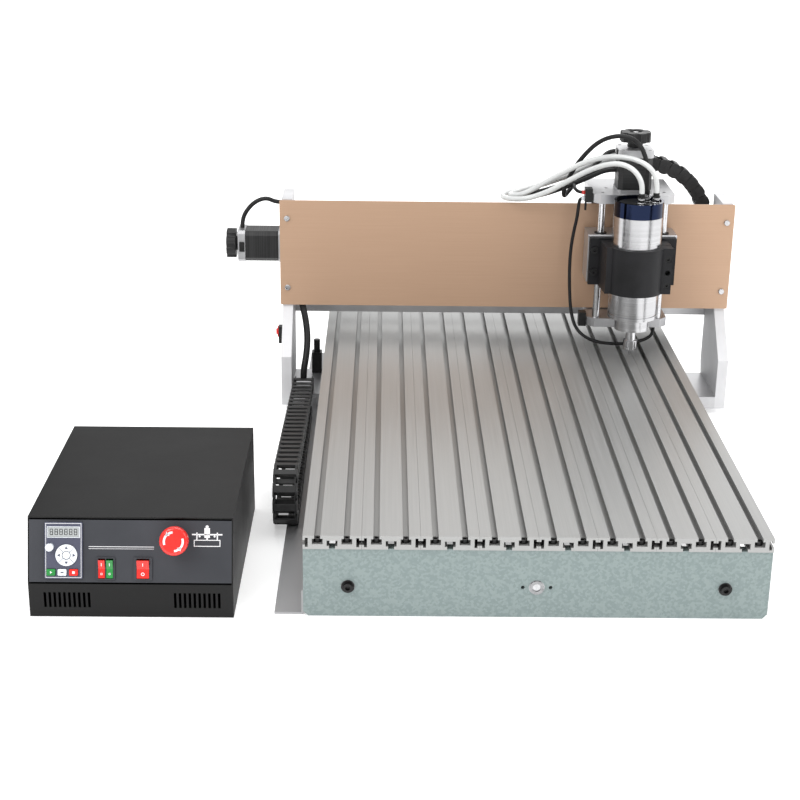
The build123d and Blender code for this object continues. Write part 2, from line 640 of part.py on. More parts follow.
with BuildPart() as y_bearing_blocks:
    for x in (-Y_ROD_X, Y_ROD_X):
        for y in BLOCK_YS:
            block((x - BLOCK_W / 2, x + BLOCK_W / 2), (y, y + BLOCK_L), (BLOCK_Z0, BLOCK_Z0 + BLOCK_H))
            bar(Y_ROD_D + 2 * RUN, (x, y, DRIVE_Z), BLOCK_L, ALONG_Y, Mode.SUBTRACT)
    block((-BLOCK_W / 2, BLOCK_W / 2), (NUT_Y, NUT_Y + BLOCK_L), (BLOCK_Z0, BLOCK_Z0 + BLOCK_H))
    bar(SCREW_D + 2 * RUN, (0, NUT_Y, DRIVE_Z), BLOCK_L, ALONG_Y, Mode.SUBTRACT)
keep(y_bearing_blocks, "y_bearing_blocks")

COVER_X0 = SIDE_X0 - COVER_SIDE
COVER_X1 = SIDE_X1 + COVER_SIDE
with BuildPart() as cover_panel:
    block((COVER_X0, COVER_X1), (SHOULDER_Y - COVER_T, SHOULDER_Y), (COVER_Z0, COVER_Z0 + COVER_H))
    fillet(cover_panel.edges().filter_by(Axis.Y), 2)
    for x in (SIDE_X0 + SIDE_T / 2, SIDE_X1 - SIDE_T / 2):
        for z in COVER_BOLT_ZS:
            bar(COVER_BOLT_D, (x, SHOULDER_Y - COVER_T, z), COVER_T, ALONG_Y, Mode.SUBTRACT)
keep(cover_panel, "cover_panel")

with BuildPart() as cover_screws:
    for x in (SIDE_X0 + SIDE_T / 2, SIDE_X1 - SIDE_T / 2):
        for z in COVER_BOLT_ZS:
            bar(COVER_BOLT_D, (x, SHOULDER_Y - COVER_T, z), COVER_T + 13, ALONG_Y)
            bar(8, (x, SHOULDER_Y - COVER_T - 2.4, z), 2.4, ALONG_Y)
    fillet(cover_screws.faces().sort_by(Axis.Y)[:4].edges(), 1)
keep(cover_screws, "cover_screws")

INNER_W = INNER_X1 - INNER_X0
with BuildPart() as x_guide_rods:
    for z in (X_DRIVE_Z - X_ROD_RISE, X_DRIVE_Z + X_ROD_RISE):
        bar(X_ROD_D, (INNER_X0, X_DRIVE_Y, z), INNER_W, ALONG_X)
keep(x_guide_rods, "x_guide_rods")

X_MOTOR_FACE = Plane((SIDE_X0, X_DRIVE_Y, X_DRIVE_Z), x_dir=(0, -1, 0), z_dir=(-1, 0, 0))
x_motor = motor("x_motor", X_MOTOR_FACE, MOTOR_S, MOTOR_L + 6, MOTOR_CUT)

BEAM_T = 3
BEAM_Z1 = X_CHAIN_Z - 0.3
with BuildPart() as rear_beam:
    block((SIDE_X0, SIDE_X1), (GANTRY_REAR, GANTRY_REAR + BEAM_T), (BEAM_Z1 - 28, BEAM_Z1))
    block((SIDE_X0, SIDE_X1), (GANTRY_REAR, GANTRY_REAR + CHAIN_W + 4), (BEAM_Z1 - BEAM_T, BEAM_Z1))
keep(rear_beam, "rear_beam")

X_CHAIN_Y0 = GANTRY_REAR + 2
X_BEND_Z = X_CHAIN_Z + X_CHAIN_BEND
with BuildPart() as x_chain:
    with BuildSketch(Plane.XZ.offset(-X_CHAIN_Y0 - CHAIN_W)):
        with Locations((X_CHAIN_BEND_X, X_BEND_Z)):
            Circle(X_CHAIN_BEND)
            Circle(X_CHAIN_BEND - X_CHAIN_H, mode=Mode.SUBTRACT)
        with Locations((X_CHAIN_BEND_X - X_CHAIN_BEND / 2 - 1, X_BEND_Z)):
            Rectangle(X_CHAIN_BEND + 2, 2 * X_CHAIN_BEND + 2, mode=Mode.SUBTRACT)
        with Locations(((X_CHAIN_FIXED_X + X_CHAIN_BEND_X) / 2, X_CHAIN_Z + X_CHAIN_H / 2)):
            Rectangle(X_CHAIN_BEND_X - X_CHAIN_FIXED_X, X_CHAIN_H)
        with Locations(((X_CHAIN_END_X + X_CHAIN_BEND_X) / 2, X_BEND_Z + X_CHAIN_BEND - X_CHAIN_H / 2)):
            Rectangle(X_CHAIN_BEND_X - X_CHAIN_END_X, X_CHAIN_H)
    extrude(amount=CHAIN_W)
keep(x_chain, "x_chain")

with BuildPart() as gantry_switches:
    block((SIDE_X0 - 6, SIDE_X0), (FOOT_Y + 42, FOOT_Y + 54), (84, 108))
    block((INNER_X0 + 24, INNER_X0 + 38), (FOOT_Y + 88, FOOT_Y + BAR_L), (BAR_TOP, BAR_TOP + 30))
    bar(9, (INNER_X0 + 31, FOOT_Y + 96, BAR_TOP + 30), 18)
keep(gantry_switches, "gantry_switches")

# ================================================================ head frame
X_END = X_CHAIN_END_X
with BuildPart() as carriage_block:
    block((HEAD_X - CARRIAGE_W / 2, HEAD_X + CARRIAGE_W / 2), (CARRIAGE_Y0, HEAD_Y1), (HEAD_BASE_Z, HEAD_TOP_Z))
    for z in (X_DRIVE_Z - X_ROD_RISE, X_DRIVE_Z + X_ROD_RISE):
        bar(X_ROD_D + 2 * RUN, (HEAD_X - CARRIAGE_W / 2, X_DRIVE_Y, z), CARRIAGE_W, ALONG_X, Mode.SUBTRACT)
    bar(SCREW_D + 2 * RUN, (HEAD_X - CARRIAGE_W / 2, X_DRIVE_Y, X_DRIVE_Z), CARRIAGE_W, ALONG_X, Mode.SUBTRACT)
    chamfer(carriage_block.edges().filter_by(Axis.Z).group_by(Axis.Y)[-1], 4)
keep(carriage_block, "carriage_block")

with BuildPart() as z_top_plate:
    block((HEAD_X0, HEAD_X1), (HEAD_Y0, HEAD_Y1), (HEAD_TOP_Z, HEAD_LID_Z))
    chamfer(z_top_plate.edges().filter_by(Axis.Z).group_by(Axis.Y)[0], HEAD_CUT)
    bar(JOURNAL_D + 2 * RUN, (HEAD_X, Z_SCREW_Y, HEAD_TOP_Z), HEAD_PLATE_T, mode=Mode.SUBTRACT)
    for x, y in ((-41, 16), (-33, 44), (42, 20), (41, 60)):
        bar(5, (HEAD_X + x, HEAD_Y0 + y, HEAD_LID_Z - 6), 6, mode=Mode.SUBTRACT)
keep(z_top_plate, "z_top_plate")

with BuildPart() as z_bottom_plate:
    block((HEAD_X0, HEAD_X1), (HEAD_Y0, HEAD_Y1), (HEAD_BASE_Z - HEAD_PLATE_T, HEAD_BASE_Z))
    chamfer(z_bottom_plate.edges().filter_by(Axis.Z).group_by(Axis.Y)[0], HEAD_CUT)
    bar(JOURNAL_D + 2 * RUN, (HEAD_X, Z_SCREW_Y, HEAD_BASE_Z - 9), 9, mode=Mode.SUBTRACT)
keep(z_bottom_plate, "z_bottom_plate")

HEAD_OPEN = HEAD_TOP_Z - HEAD_BASE_Z
with BuildPart() as z_guide_rods:
    for x in (HEAD_X - Z_ROD_X, HEAD_X + Z_ROD_X):
        bar(Z_ROD_D, (x, Z_ROD_Y, HEAD_BASE_Z), HEAD_OPEN)
keep(z_guide_rods, "z_guide_rods")

Z_MOTOR_FACE = Plane((HEAD_X, Z_SCREW_Y, HEAD_LID_Z), x_dir=(1, 0, 0), z_dir=(0, 0, 1))
z_motor = motor("z_motor", Z_MOTOR_FACE, Z_MOTOR_S, Z_MOTOR_H, MOTOR_CUT)

SWITCH_W = 10
with BuildPart() as z_switches:
    block((HEAD_X0 - SWITCH_W, HEAD_X0), (608, 622), (HEAD_TOP_Z, HEAD_TOP_Z + 18))
    bar(3, (HEAD_X0 - SWITCH_W + 1.8, 615, HEAD_TOP_Z - 12), 12)
    block((HEAD_X0 - SWITCH_W, HEAD_X0), (608, 622), (123, 142))
keep(z_switches, "z_switches")

BRACKET_X1 = X_END + 26
CLIP_X0 = 162        # block that grips the head's tubes and cables
SHELF_Z1 = X_BEND_Z + X_CHAIN_BEND - X_CHAIN_H - 0.3
with BuildPart() as chain_bracket:
    block((X_END, BRACKET_X1), (HEAD_Y1 - 4, HEAD_Y1), (HEAD_LID_Z, SHELF_Z1 + 22))
    block((X_END, BRACKET_X1), (HEAD_Y1 - 4, X_CHAIN_Y0 + CHAIN_W), (SHELF_Z1 - 3, SHELF_Z1))
    block((X_END, BRACKET_X1), (HEAD_Y1 - 14, HEAD_Y1), (HEAD_LID_Z, HEAD_LID_Z + 3))
    block((CLIP_X0, X_END + 2), (HEAD_Y1 - 22, HEAD_Y1), (HEAD_LID_Z + 13, HEAD_LID_Z + 48))
keep(chain_bracket, "chain_bracket")

# ================================================================ drive screws
THREAD_GAP = 1
with BuildPart() as y_screw:
    bar(JOURNAL_D, (0, -PLATE_Y, DRIVE_Z), REAR_Y + PLATE_T + 30, ALONG_Y)
    bar(SCREW_D, (0, PLATE_Y + THREAD_GAP, DRIVE_Z), REAR_Y - PLATE_T - 2 * THREAD_GAP, ALONG_Y)
keep(y_screw, "y_screw")

X_KNOB_X1 = SIDE_X0 - MOTOR_L - 6 - 3.5
with BuildPart() as x_screw:
    bar(JOURNAL_D, (X_KNOB_X1 - KNOB_H, X_DRIVE_Y, X_DRIVE_Z), SIDE_X1 - X_KNOB_X1 + KNOB_H, ALONG_X)
    bar(SCREW_D, (INNER_X0 + THREAD_GAP, X_DRIVE_Y, X_DRIVE_Z), INNER_W - 2 * THREAD_GAP, ALONG_X)
keep(x_screw, "x_screw")

Z_KNOB_Z0 = HEAD_LID_Z + Z_MOTOR_H + 8.5
with BuildPart() as z_screw:
    bar(JOURNAL_D, (HEAD_X, Z_SCREW_Y, HEAD_BASE_Z - 8.5), Z_KNOB_Z0 + KNOB_H - 3 - HEAD_BASE_Z + 8.5)
    bar(Z_SCREW_D, (HEAD_X, Z_SCREW_Y, HEAD_BASE_Z + THREAD_GAP), HEAD_OPEN - 2 * THREAD_GAP)
keep(z_screw, "z_screw")

LOBES = 8
LOBE_D = 9


def hand_knob(name, face, neck, depth):
    """Lobed hand knob with a hub; the plane is at the hub's motor side."""
    with BuildPart() as knob:
        with BuildSketch(face):
            Circle(KNOB_D / 4)
        extrude(amount=neck + 1)
        with BuildSketch(face.offset(neck)):
            Circle(KNOB_D / 2)
            with PolarLocations(KNOB_D / 2 + LOBE_D / 4, LOBES):
                Circle(LOBE_D / 2, mode=Mode.SUBTRACT)
        extrude(amount=KNOB_H)
        with BuildSketch(face):
            Circle(JOURNAL_D / 2)
        extrude(amount=depth, mode=Mode.SUBTRACT)
    keep(knob, name)
    return knob


X_KNOB_FACE = Plane((SIDE_X0 - MOTOR_L - 6 - 1, X_DRIVE_Y, X_DRIVE_Z), x_dir=(0, -1, 0), z_dir=(-1, 0, 0))
x_knob = hand_knob("x_knob", X_KNOB_FACE, 2.5, KNOB_H + 2.5)
Z_KNOB_FACE = Plane((HEAD_X, Z_SCREW_Y, HEAD_LID_Z + Z_MOTOR_H + 1), x_dir=(1, 0, 0), z_dir=(0, 0, 1))
z_knob = hand_knob("z_knob", Z_KNOB_FACE, 7.5, KNOB_H + 7.5 - 3)

# ================================================================ spindle slide
FLANGE_BOLT_DX = [-51.5, 51.5]
FLANGE_BOLT_ZS = [206, 236]
FLANGE_BOLT_D = 5
FLANGE_HEAD_D = 10
FLANGE_Y0 = 588
EAR_BOLT_DX = 40.5
EAR_BOLT_ZS = [199.5, 235]
EAR_HOLE_Z = 217
CLAMP_Y0 = 544

with BuildPart() as slide_block:
    block((HEAD_X - SLIDE_W / 2, HEAD_X + SLIDE_W / 2), (SLIDE_Y0, SLIDE_Y1), (SLIDE_Z0, SLIDE_Z0 + SLIDE_H))
    chamfer(slide_block.edges().filter_by(Axis.X).group_by(Axis.Y)[0], 1)
    for x in (HEAD_X - Z_ROD_X, HEAD_X + Z_ROD_X):
        bar(Z_ROD_D + 2 * RUN, (x, Z_ROD_Y, SLIDE_Z0), SLIDE_H, mode=Mode.SUBTRACT)
    bar(Z_SCREW_D + 2 * RUN, (HEAD_X, Z_SCREW_Y, SLIDE_Z0), SLIDE_H, mode=Mode.SUBTRACT)
    for dx in FLANGE_BOLT_DX:
        for z in FLANGE_BOLT_ZS:
            bar(FLANGE_BOLT_D, (HEAD_X + dx, SLIDE_Y0, z), 12, ALONG_Y, Mode.SUBTRACT)
keep(slide_block, "slide_block")

with BuildPart() as spindle_clamp:
    block((HEAD_X - 58, HEAD_X + 58), (FLANGE_Y0, SLIDE_Y0), (CLAMP_Z0, CLAMP_Z0 + CLAMP_H + 2))
    with BuildSketch(Plane.XY.offset(CLAMP_Z0)):
        with BuildLine():
            Polyline(
                (HEAD_X - 45, FLANGE_Y0),
                (HEAD_X - 41, CLAMP_Y0),
                (HEAD_X - 32, CLAMP_Y0),
                (HEAD_X - 20, SPINDLE_Y),
                (HEAD_X + 20, SPINDLE_Y),
                (HEAD_X + 32, CLAMP_Y0),
                (HEAD_X + 46, CLAMP_Y0),
                (HEAD_X + 46, SPINDLE_Y + 4),
                (HEAD_X + 44, FLANGE_Y0),
                close=True,
            )
        make_face()
        with Locations((HEAD_X, SPINDLE_Y)):
            Circle(38)
    extrude(amount=CLAMP_H)
    block((HEAD_X - 60, HEAD_X + 60), (SLIDE_Y0, SLIDE_Y1), (CLAMP_Z0, CLAMP_Z0 + CLAMP_H), Mode.SUBTRACT)
    bar(SPINDLE_D, (HEAD_X, SPINDLE_Y, CLAMP_Z0), CLAMP_H + 2, mode=Mode.SUBTRACT)
    block((HEAD_X + 30, HEAD_X + 47), (SPINDLE_Y - 0.7, SPINDLE_Y + 0.7), (CLAMP_Z0, CLAMP_Z0 + CLAMP_H), Mode.SUBTRACT)
    for z in EAR_BOLT_ZS:
        bar(5, (HEAD_X + EAR_BOLT_DX, CLAMP_Y0, z), 36, ALONG_Y, Mode.SUBTRACT)
        bar(9, (HEAD_X + EAR_BOLT_DX, CLAMP_Y0, z), 6, ALONG_Y, Mode.SUBTRACT)
    bar(7, (HEAD_X + EAR_BOLT_DX, CLAMP_Y0, EAR_HOLE_Z), 9, ALONG_Y, Mode.SUBTRACT)
    for dx in FLANGE_BOLT_DX:
        for z in FLANGE_BOLT_ZS:
            bar(FLANGE_BOLT_D, (HEAD_X + dx, FLANGE_Y0, z), 8, ALONG_Y, Mode.SUBTRACT)
            bar(FLANGE_HEAD_D, (HEAD_X + dx, FLANGE_Y0, z), 2, ALONG_Y, Mode.SUBTRACT)
keep(spindle_clamp, "spindle_clamp")

with BuildPart() as clamp_screws:
    for dx in FLANGE_BOLT_DX:
        for z in FLANGE_BOLT_ZS:
            bar(FLANGE_BOLT_D, (HEAD_X + dx, FLANGE_Y0 + 2, z), 16, ALONG_Y)
            bar(FLANGE_HEAD_D, (HEAD_X + dx, FLANGE_Y0 - 3, z), 5, ALONG_Y)
            bar(4.6, (HEAD_X + dx, FLANGE_Y0 - 3, z), 2.6, ALONG_Y, Mode.SUBTRACT)
    for z in EAR_BOLT_ZS:
        bar(5, (HEAD_X + EAR_BOLT_DX, CLAMP_Y0 + 6, z), 30, ALONG_Y)
        bar(9, (HEAD_X + EAR_BOLT_DX, CLAMP_Y0 + 1, z), 5, ALONG_Y)
        bar(4.2, (HEAD_X + EAR_BOLT_DX, CLAMP_Y0 + 1, z), 2.6, ALONG_Y, Mode.SUBTRACT)
keep(clamp_screws, "clamp_screws")

SPINDLE_TOP = SPINDLE_Z0 + SPINDLE_L
LID_DEPTH = 5
SPINDLE_AT = (HEAD_X, SPINDLE_Y)
SHAFT_IN = 20
with BuildPart() as spindle_body:
    bar(SPINDLE_D, (*SPINDLE_AT, SPINDLE_Z0), SPINDLE_L)
    bar(NOSE_D, (*SPINDLE_AT, SPINDLE_Z0 - NOSE_L), NOSE_L)
    with BuildSketch(Plane.XY.offset(SPINDLE_Z0 + 5)):
        with Locations(SPINDLE_AT):
            Circle(SPINDLE_D / 2)
            Circle(SPINDLE_D / 2 - 0.8, mode=Mode.SUBTRACT)
    extrude(amount=1.4, mode=Mode.SUBTRACT)
    bar(SPINDLE_D - 7, (*SPINDLE_AT, SPINDLE_TOP - LID_DEPTH), LID_DEPTH, mode=Mode.SUBTRACT)
    bar(SHAFT_D + 2 * RUN, (*SPINDLE_AT, SPINDLE_Z0 - NOSE_L), SHAFT_IN + 1, mode=Mode.SUBTRACT)
keep(spindle_body, "spindle_body")

FITTING_FLOOR = SPINDLE_TOP - LID_DEPTH
FITTING_H = 16
FITTINGS = [(174, 551), (194, 557), (184, 573)]
with BuildPart() as tube_fittings:
    for x, y in FITTINGS:
        bar(11, (x, y, FITTING_FLOOR), 7)
        bar(8.6, (x, y, FITTING_FLOOR + 7), FITTING_H - 7)
keep(tube_fittings, "tube_fittings")

with BuildPart() as spindle_shaft:
    bar(SHAFT_D, (*SPINDLE_AT, SHAFT_LOW_Z), SPINDLE_Z0 - NOSE_L + SHAFT_IN - SHAFT_LOW_Z)
    bar(BIT_D, (*SPINDLE_AT, SHAFT_LOW_Z), 8, mode=Mode.SUBTRACT)
keep(spindle_shaft, "spindle_shaft")

with BuildPart() as collet_nut:
    bar(NUT_D, (*SPINDLE_AT, SHAFT_LOW_Z - NUT_H), NUT_H)
    with Locations((*SPINDLE_AT, SHAFT_LOW_Z - NUT_H / 2 + 1)):
        with PolarLocations(NUT_D / 2, 6):
            Box(2.6, 3, NUT_H - 4, mode=Mode.SUBTRACT)
    bar(BIT_D, (*SPINDLE_AT, SHAFT_LOW_Z - NUT_H), NUT_H, mode=Mode.SUBTRACT)
keep(collet_nut, "collet_nut")

with BuildPart() as cutter_bit:
    bar(BIT_D, (*SPINDLE_AT, BIT_TIP_Z), SHAFT_LOW_Z + 8 - BIT_TIP_Z)
    chamfer(cutter_bit.edges().group_by(Axis.Z)[0], 0.6)
keep(cutter_bit, "cutter_bit")

# ================================================================ tubes and cables
TUBE_D = 7
SUPPLY_D = 6
HARNESS_D = 4.5
MOTOR_CABLE_D = 6
BUNDLE_D = 9


def corner_radii(points):
    """Largest bend radius each corner of a route takes, with straight left over."""
    radii = []
    for before, corner, after in zip(points, points[1:], points[2:]):
        come = Vector(*corner) - Vector(*before)
        leave = Vector(*after) - Vector(*corner)
        half_turn = radians(come.get_angle(leave)) / 2
        radii.append(0.45 * min(come.length, leave.length) / tan(half_turn))
    return radii


def cord(name, routes, diameter):
    """Round tube or cable along each route, rounded at every corner."""
    with BuildPart() as tube:
        for points in routes:
            radii = corner_radii(points)
            print(name, "tightest bend", round(min(radii), 1), "for diameter", diameter)
            with BuildLine() as path:
                FilletPolyline(*points, radius=radii)
            with BuildSketch(Plane(origin=path.line @ 0, z_dir=path.line % 0)):
                Circle(diameter / 2)
            sweep(path=path.line)
    keep(tube, name)
    return tube


FITTING_TOP = FITTING_FLOOR + FITTING_H
COOLANT_IN = [
    (194, 557, FITTING_TOP),
    (194, 557, 333),
    (190, 559, 346),
    (182, 564, 355),
    (169, 572, 361),
    (150, 583, 363),
    (127, 596, 359.5),
    (103, 607, 350),
    (79, 618, 334),
    (58, 627, 320),
    (40, 634, 307),
    (25, 637.5, 299),
    (12, 649, 295),
    (12, 667, 293),
    (25, 679.5, 295),
    (46, 680, 301),
    (68, 680, 309),
    (90, 680, 318),
    (111, 683, 327),
    (130, 689, 336),
    (148, 698, 343),
    (CLIP_X0, 698, 343),
]
COOLANT_OUT = [
    (174, 551, FITTING_TOP),
    (174, 551, 332),
    (169, 553, 344),
    (160, 559, 353),
    (145, 568, 357.5),
    (125, 581, 352),
    (103, 594, 339.5),
    (80, 606, 323),
    (60, 615, 309),
    (42, 622, 300),
    (23, 627.5, 294.5),
    (1.5, 646, 292),
    (1.5, 670, 292),
    (23, 688.5, 293),
    (44, 690, 297),
    (66, 690, 304),
    (88, 690, 312),
    (110, 691, 320),
    (130, 695, 328),
    (148, 700, 333),
    (CLIP_X0, 700, 333),
]
coolant_tubes = cord("coolant_tubes", [COOLANT_IN, COOLANT_OUT], TUBE_D)

SUPPLY = [
    (184, 573, FITTING_TOP),
    (184, 573, 345),
    (180.5, 574, 362),
    (173, 576, 379),
    (160, 580, 389),
    (142, 588, 390),
    (122, 602, 380),
    (105, 616, 359),
    (91, 628, 334),
    (83, 633, 312),
    (82, 638, 300),
    (85, 647, 295.5),
    (92, 656, 302),
    (103, 661, 314),
    (120, 668, 327),
    (136, 679, 340),
    (148, 690, 350),
    (CLIP_X0, 690, 350),
]
MOTOR_LEAD = [
    (HEAD_X - Z_MOTOR_S / 2 + CAN_INSET, 638, 334),
    (138, 638, 334),
    (121, 641, 325),
    (93, 646, 311),
    (68, 647, 301),
    (50, 646, 296),
    (36, 646, 293.5),
    (29, 653, 293),
    (29, 663, 293),
    (36, 670, 293.5),
    (56, 671, 297),
    (78, 671, 304),
    (100, 672, 311),
    (120, 676, 318),
    (136, 684, 325),
    (150, 690, 327),
    (CLIP_X0, 690, 327),
]
spindle_cable = cord("spindle_cable", [SUPPLY, MOTOR_LEAD], SUPPLY_D)

HARNESS_UP = [
    (HEAD_X0 - SWITCH_W, 615, 308),
    (102, 615, 308),
    (96.5, 620, 310),
    (95.5, 632, 312),
    (96.5, 641.6, 312.4),
]
HARNESS_DOWN = [
    (HEAD_X0 - SWITCH_W, 615, 300),
    (103.5, 615, 300),
    (101, 616, 296),
    (100, 618, 274),
    (96, 621, 250),
    (93.5, 622, 225),
    (93.5, 622, 196),
    (95, 618, 165),
    (97, 611, 142),
    (103, 602, 122),
    (117, 595, 110),
    (136, 592, 104.5),
    (155, 592, 103),
    (174, 593, 103),
    (193, 599, 105),
    (206, 602, 110),
    (210, 602, 117),
    (210, 602, HEAD_BASE_Z - HEAD_PLATE_T),
]
switch_harness = cord("switch_harness", [HARNESS_UP, HARNESS_DOWN], HARNESS_D)

MOTOR_CABLE_X = SIDE_X0 - MOTOR_L - 1
MOTOR_CABLE = [
    (MOTOR_CABLE_X, X_DRIVE_Y, X_DRIVE_Z + MOTOR_S / 2),
    (MOTOR_CABLE_X, X_DRIVE_Y, 250),
    (-350, X_DRIVE_Y, 264),
    (-338, X_DRIVE_Y, 276),
    (-323, X_DRIVE_Y, 281),
    (-310, X_DRIVE_Y, GROMMET_Z),
    (SIDE_X0, X_DRIVE_Y, GROMMET_Z),
]
x_motor_cable = cord("x_motor_cable", [MOTOR_CABLE], MOTOR_CABLE_D)

WIRES = [
    (Y_CHAIN_X, 617, Y_CHAIN_REST_Z + Y_CHAIN_H),
    (Y_CHAIN_X, 617, 52),
    (-267, 627, 70),
    (-265.5, 638, 92),
    (-268, 648, 114),
    (-273, 656, 134),
    (-278, LUG_Y, 158),
    (-278, LUG_Y, LUG_Z),
]
chain_wires = cord("chain_wires", [WIRES], BUNDLE_D)
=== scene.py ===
# %% [markdown]
# # A desktop gantry router, dressed for its portrait
# The machine's plates, slats, rods and screws are already solid parts with real sizes. This
# lesson gives them finishes, and models what a plain solid can't show: chains, tubes, knobs
# and the small marks on the control box. Everything is in metres, in the machine's own axes.

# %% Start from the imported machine
import math
import bpy
from mathutils import Euler, Matrix, Vector


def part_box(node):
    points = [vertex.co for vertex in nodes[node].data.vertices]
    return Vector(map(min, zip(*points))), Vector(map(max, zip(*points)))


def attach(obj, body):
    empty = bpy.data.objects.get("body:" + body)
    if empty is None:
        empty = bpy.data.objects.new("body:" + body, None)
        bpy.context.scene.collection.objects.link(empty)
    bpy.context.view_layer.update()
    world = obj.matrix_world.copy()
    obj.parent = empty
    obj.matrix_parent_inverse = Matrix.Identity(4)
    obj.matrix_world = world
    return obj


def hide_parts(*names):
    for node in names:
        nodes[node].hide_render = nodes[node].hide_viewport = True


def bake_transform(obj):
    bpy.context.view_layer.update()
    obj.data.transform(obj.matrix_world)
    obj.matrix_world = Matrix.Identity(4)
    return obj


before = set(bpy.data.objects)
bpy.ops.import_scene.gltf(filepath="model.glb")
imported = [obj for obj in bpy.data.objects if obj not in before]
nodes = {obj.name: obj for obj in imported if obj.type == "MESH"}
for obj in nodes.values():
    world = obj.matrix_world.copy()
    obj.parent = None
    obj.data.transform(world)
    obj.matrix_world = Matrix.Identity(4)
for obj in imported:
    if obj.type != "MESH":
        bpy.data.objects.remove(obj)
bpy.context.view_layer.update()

MM = 0.001


def mm(x, y, z):
    """A point given in millimetres, in metres."""
    return Vector((x * MM, y * MM, z * MM))


# %% [markdown]
# ## The camera
# A long lens from a little above and left keeps the long bed from looking stretched. The
# camera's turn is written as three plain angles, so that each one can be understood alone.

# %% Place the camera
camera_data = bpy.data.cameras.new("camera")
camera = bpy.data.objects.new("camera", camera_data)
bpy.context.collection.objects.link(camera)
camera_data.sensor_width = 36
camera_data.lens = 70.843
LOOK_DOWN, LOOK_RIGHT, ROLL = 20.1831, -0.665, 0.7437
turn = Euler((math.radians(90 - LOOK_DOWN), 0, math.radians(LOOK_RIGHT))).to_matrix()
turn = turn @ Matrix.Rotation(math.radians(ROLL), 3, "Z")
camera.matrix_world = Matrix.Translation(mm(-159.76, -1456.16, 771.03)) @ turn.to_4x4()
camera_data.clip_end = 20
bpy.context.scene.camera = camera
print("camera lens", camera_data.lens)

# %% [markdown]
# ## Shared surface effects
# Real finishes are never one flat colour: metal is brushed or cast, plastic has a faint
# grain. Two node groups hold these effects. Each gives only masks and heights, and every
# material feeds them into its own shader with its own values.

# %% Two node groups: grain and spangle
def new_group(name, inputs, outputs):
    """An empty node group with float or vector inputs and float outputs."""
    group = bpy.data.node_groups.new(name, "ShaderNodeTree")
    for label, kind, value in inputs:
        socket = group.interface.new_socket(label, in_out="INPUT", socket_type=kind)
        socket.default_value = value
    for label in outputs:
        group.interface.new_socket(label, in_out="OUTPUT", socket_type="NodeSocketFloat")
    return group, group.nodes.new("NodeGroupInput"), group.nodes.new("NodeGroupOutput")


grain_inputs = [
    ("Stretch", "NodeSocketVector", (1, 1, 1)),
    ("Scale", "NodeSocketFloat", 60),
    ("Fine", "NodeSocketFloat", 900),
]
grain, given, out = new_group("grain", grain_inputs, ["Mask", "Height"])
place = grain.nodes.new("ShaderNodeTexCoord")
stretch = grain.nodes.new("ShaderNodeVectorMath")
stretch.operation = "MULTIPLY"
broad = grain.nodes.new("ShaderNodeTexNoise")
broad.inputs["Detail"].default_value = 3
fine = grain.nodes.new("ShaderNodeTexNoise")
fine.inputs["Detail"].default_value = 2
grain.links.new(place.outputs["Object"], stretch.inputs[0])
grain.links.new(given.outputs["Stretch"], stretch.inputs[1])
for noise, size in ((broad, "Scale"), (fine, "Fine")):
    grain.links.new(stretch.outputs[0], noise.inputs["Vector"])
    grain.links.new(given.outputs[size], noise.inputs["Scale"])
grain.links.new(broad.outputs["Fac"], out.inputs["Mask"])
grain.links.new(fine.outputs["Fac"], out.inputs["Height"])

spangle, given, out = new_group("spangle", [("Scale", "NodeSocketFloat", 70)], ["Mask", "Height"])
place = spangle.nodes.new("ShaderNodeTexCoord")
cells = spangle.nodes.new("ShaderNodeTexVoronoi")
shade = spangle.nodes.new("ShaderNodeSeparateColor")
fine = spangle.nodes.new("ShaderNodeTexNoise")
fine.inputs["Scale"].default_value = 400
spangle.links.new(place.outputs["Object"], cells.inputs["Vector"])
spangle.links.new(place.outputs["Object"], fine.inputs["Vector"])
spangle.links.new(given.outputs["Scale"], cells.inputs["Scale"])
spangle.links.new(cells.outputs["Color"], shade.inputs[0])
spangle.links.new(shade.outputs[0], out.inputs["Mask"])
spangle.links.new(fine.outputs["Fac"], out.inputs["Height"])
print("groups:", [g.name for g in bpy.data.node_groups])

# %% [markdown]
# ## One recipe for most finishes
# A finish is two close colours mixed by the grain, a roughness that follows it, and a bump.
# Writing the recipe once keeps the many materials short and easy to compare.

# %% The finish recipe
def sockets_of(material):
    """The sockets of a material's main shader."""
    return material.node_tree.nodes["Principled BSDF"].inputs


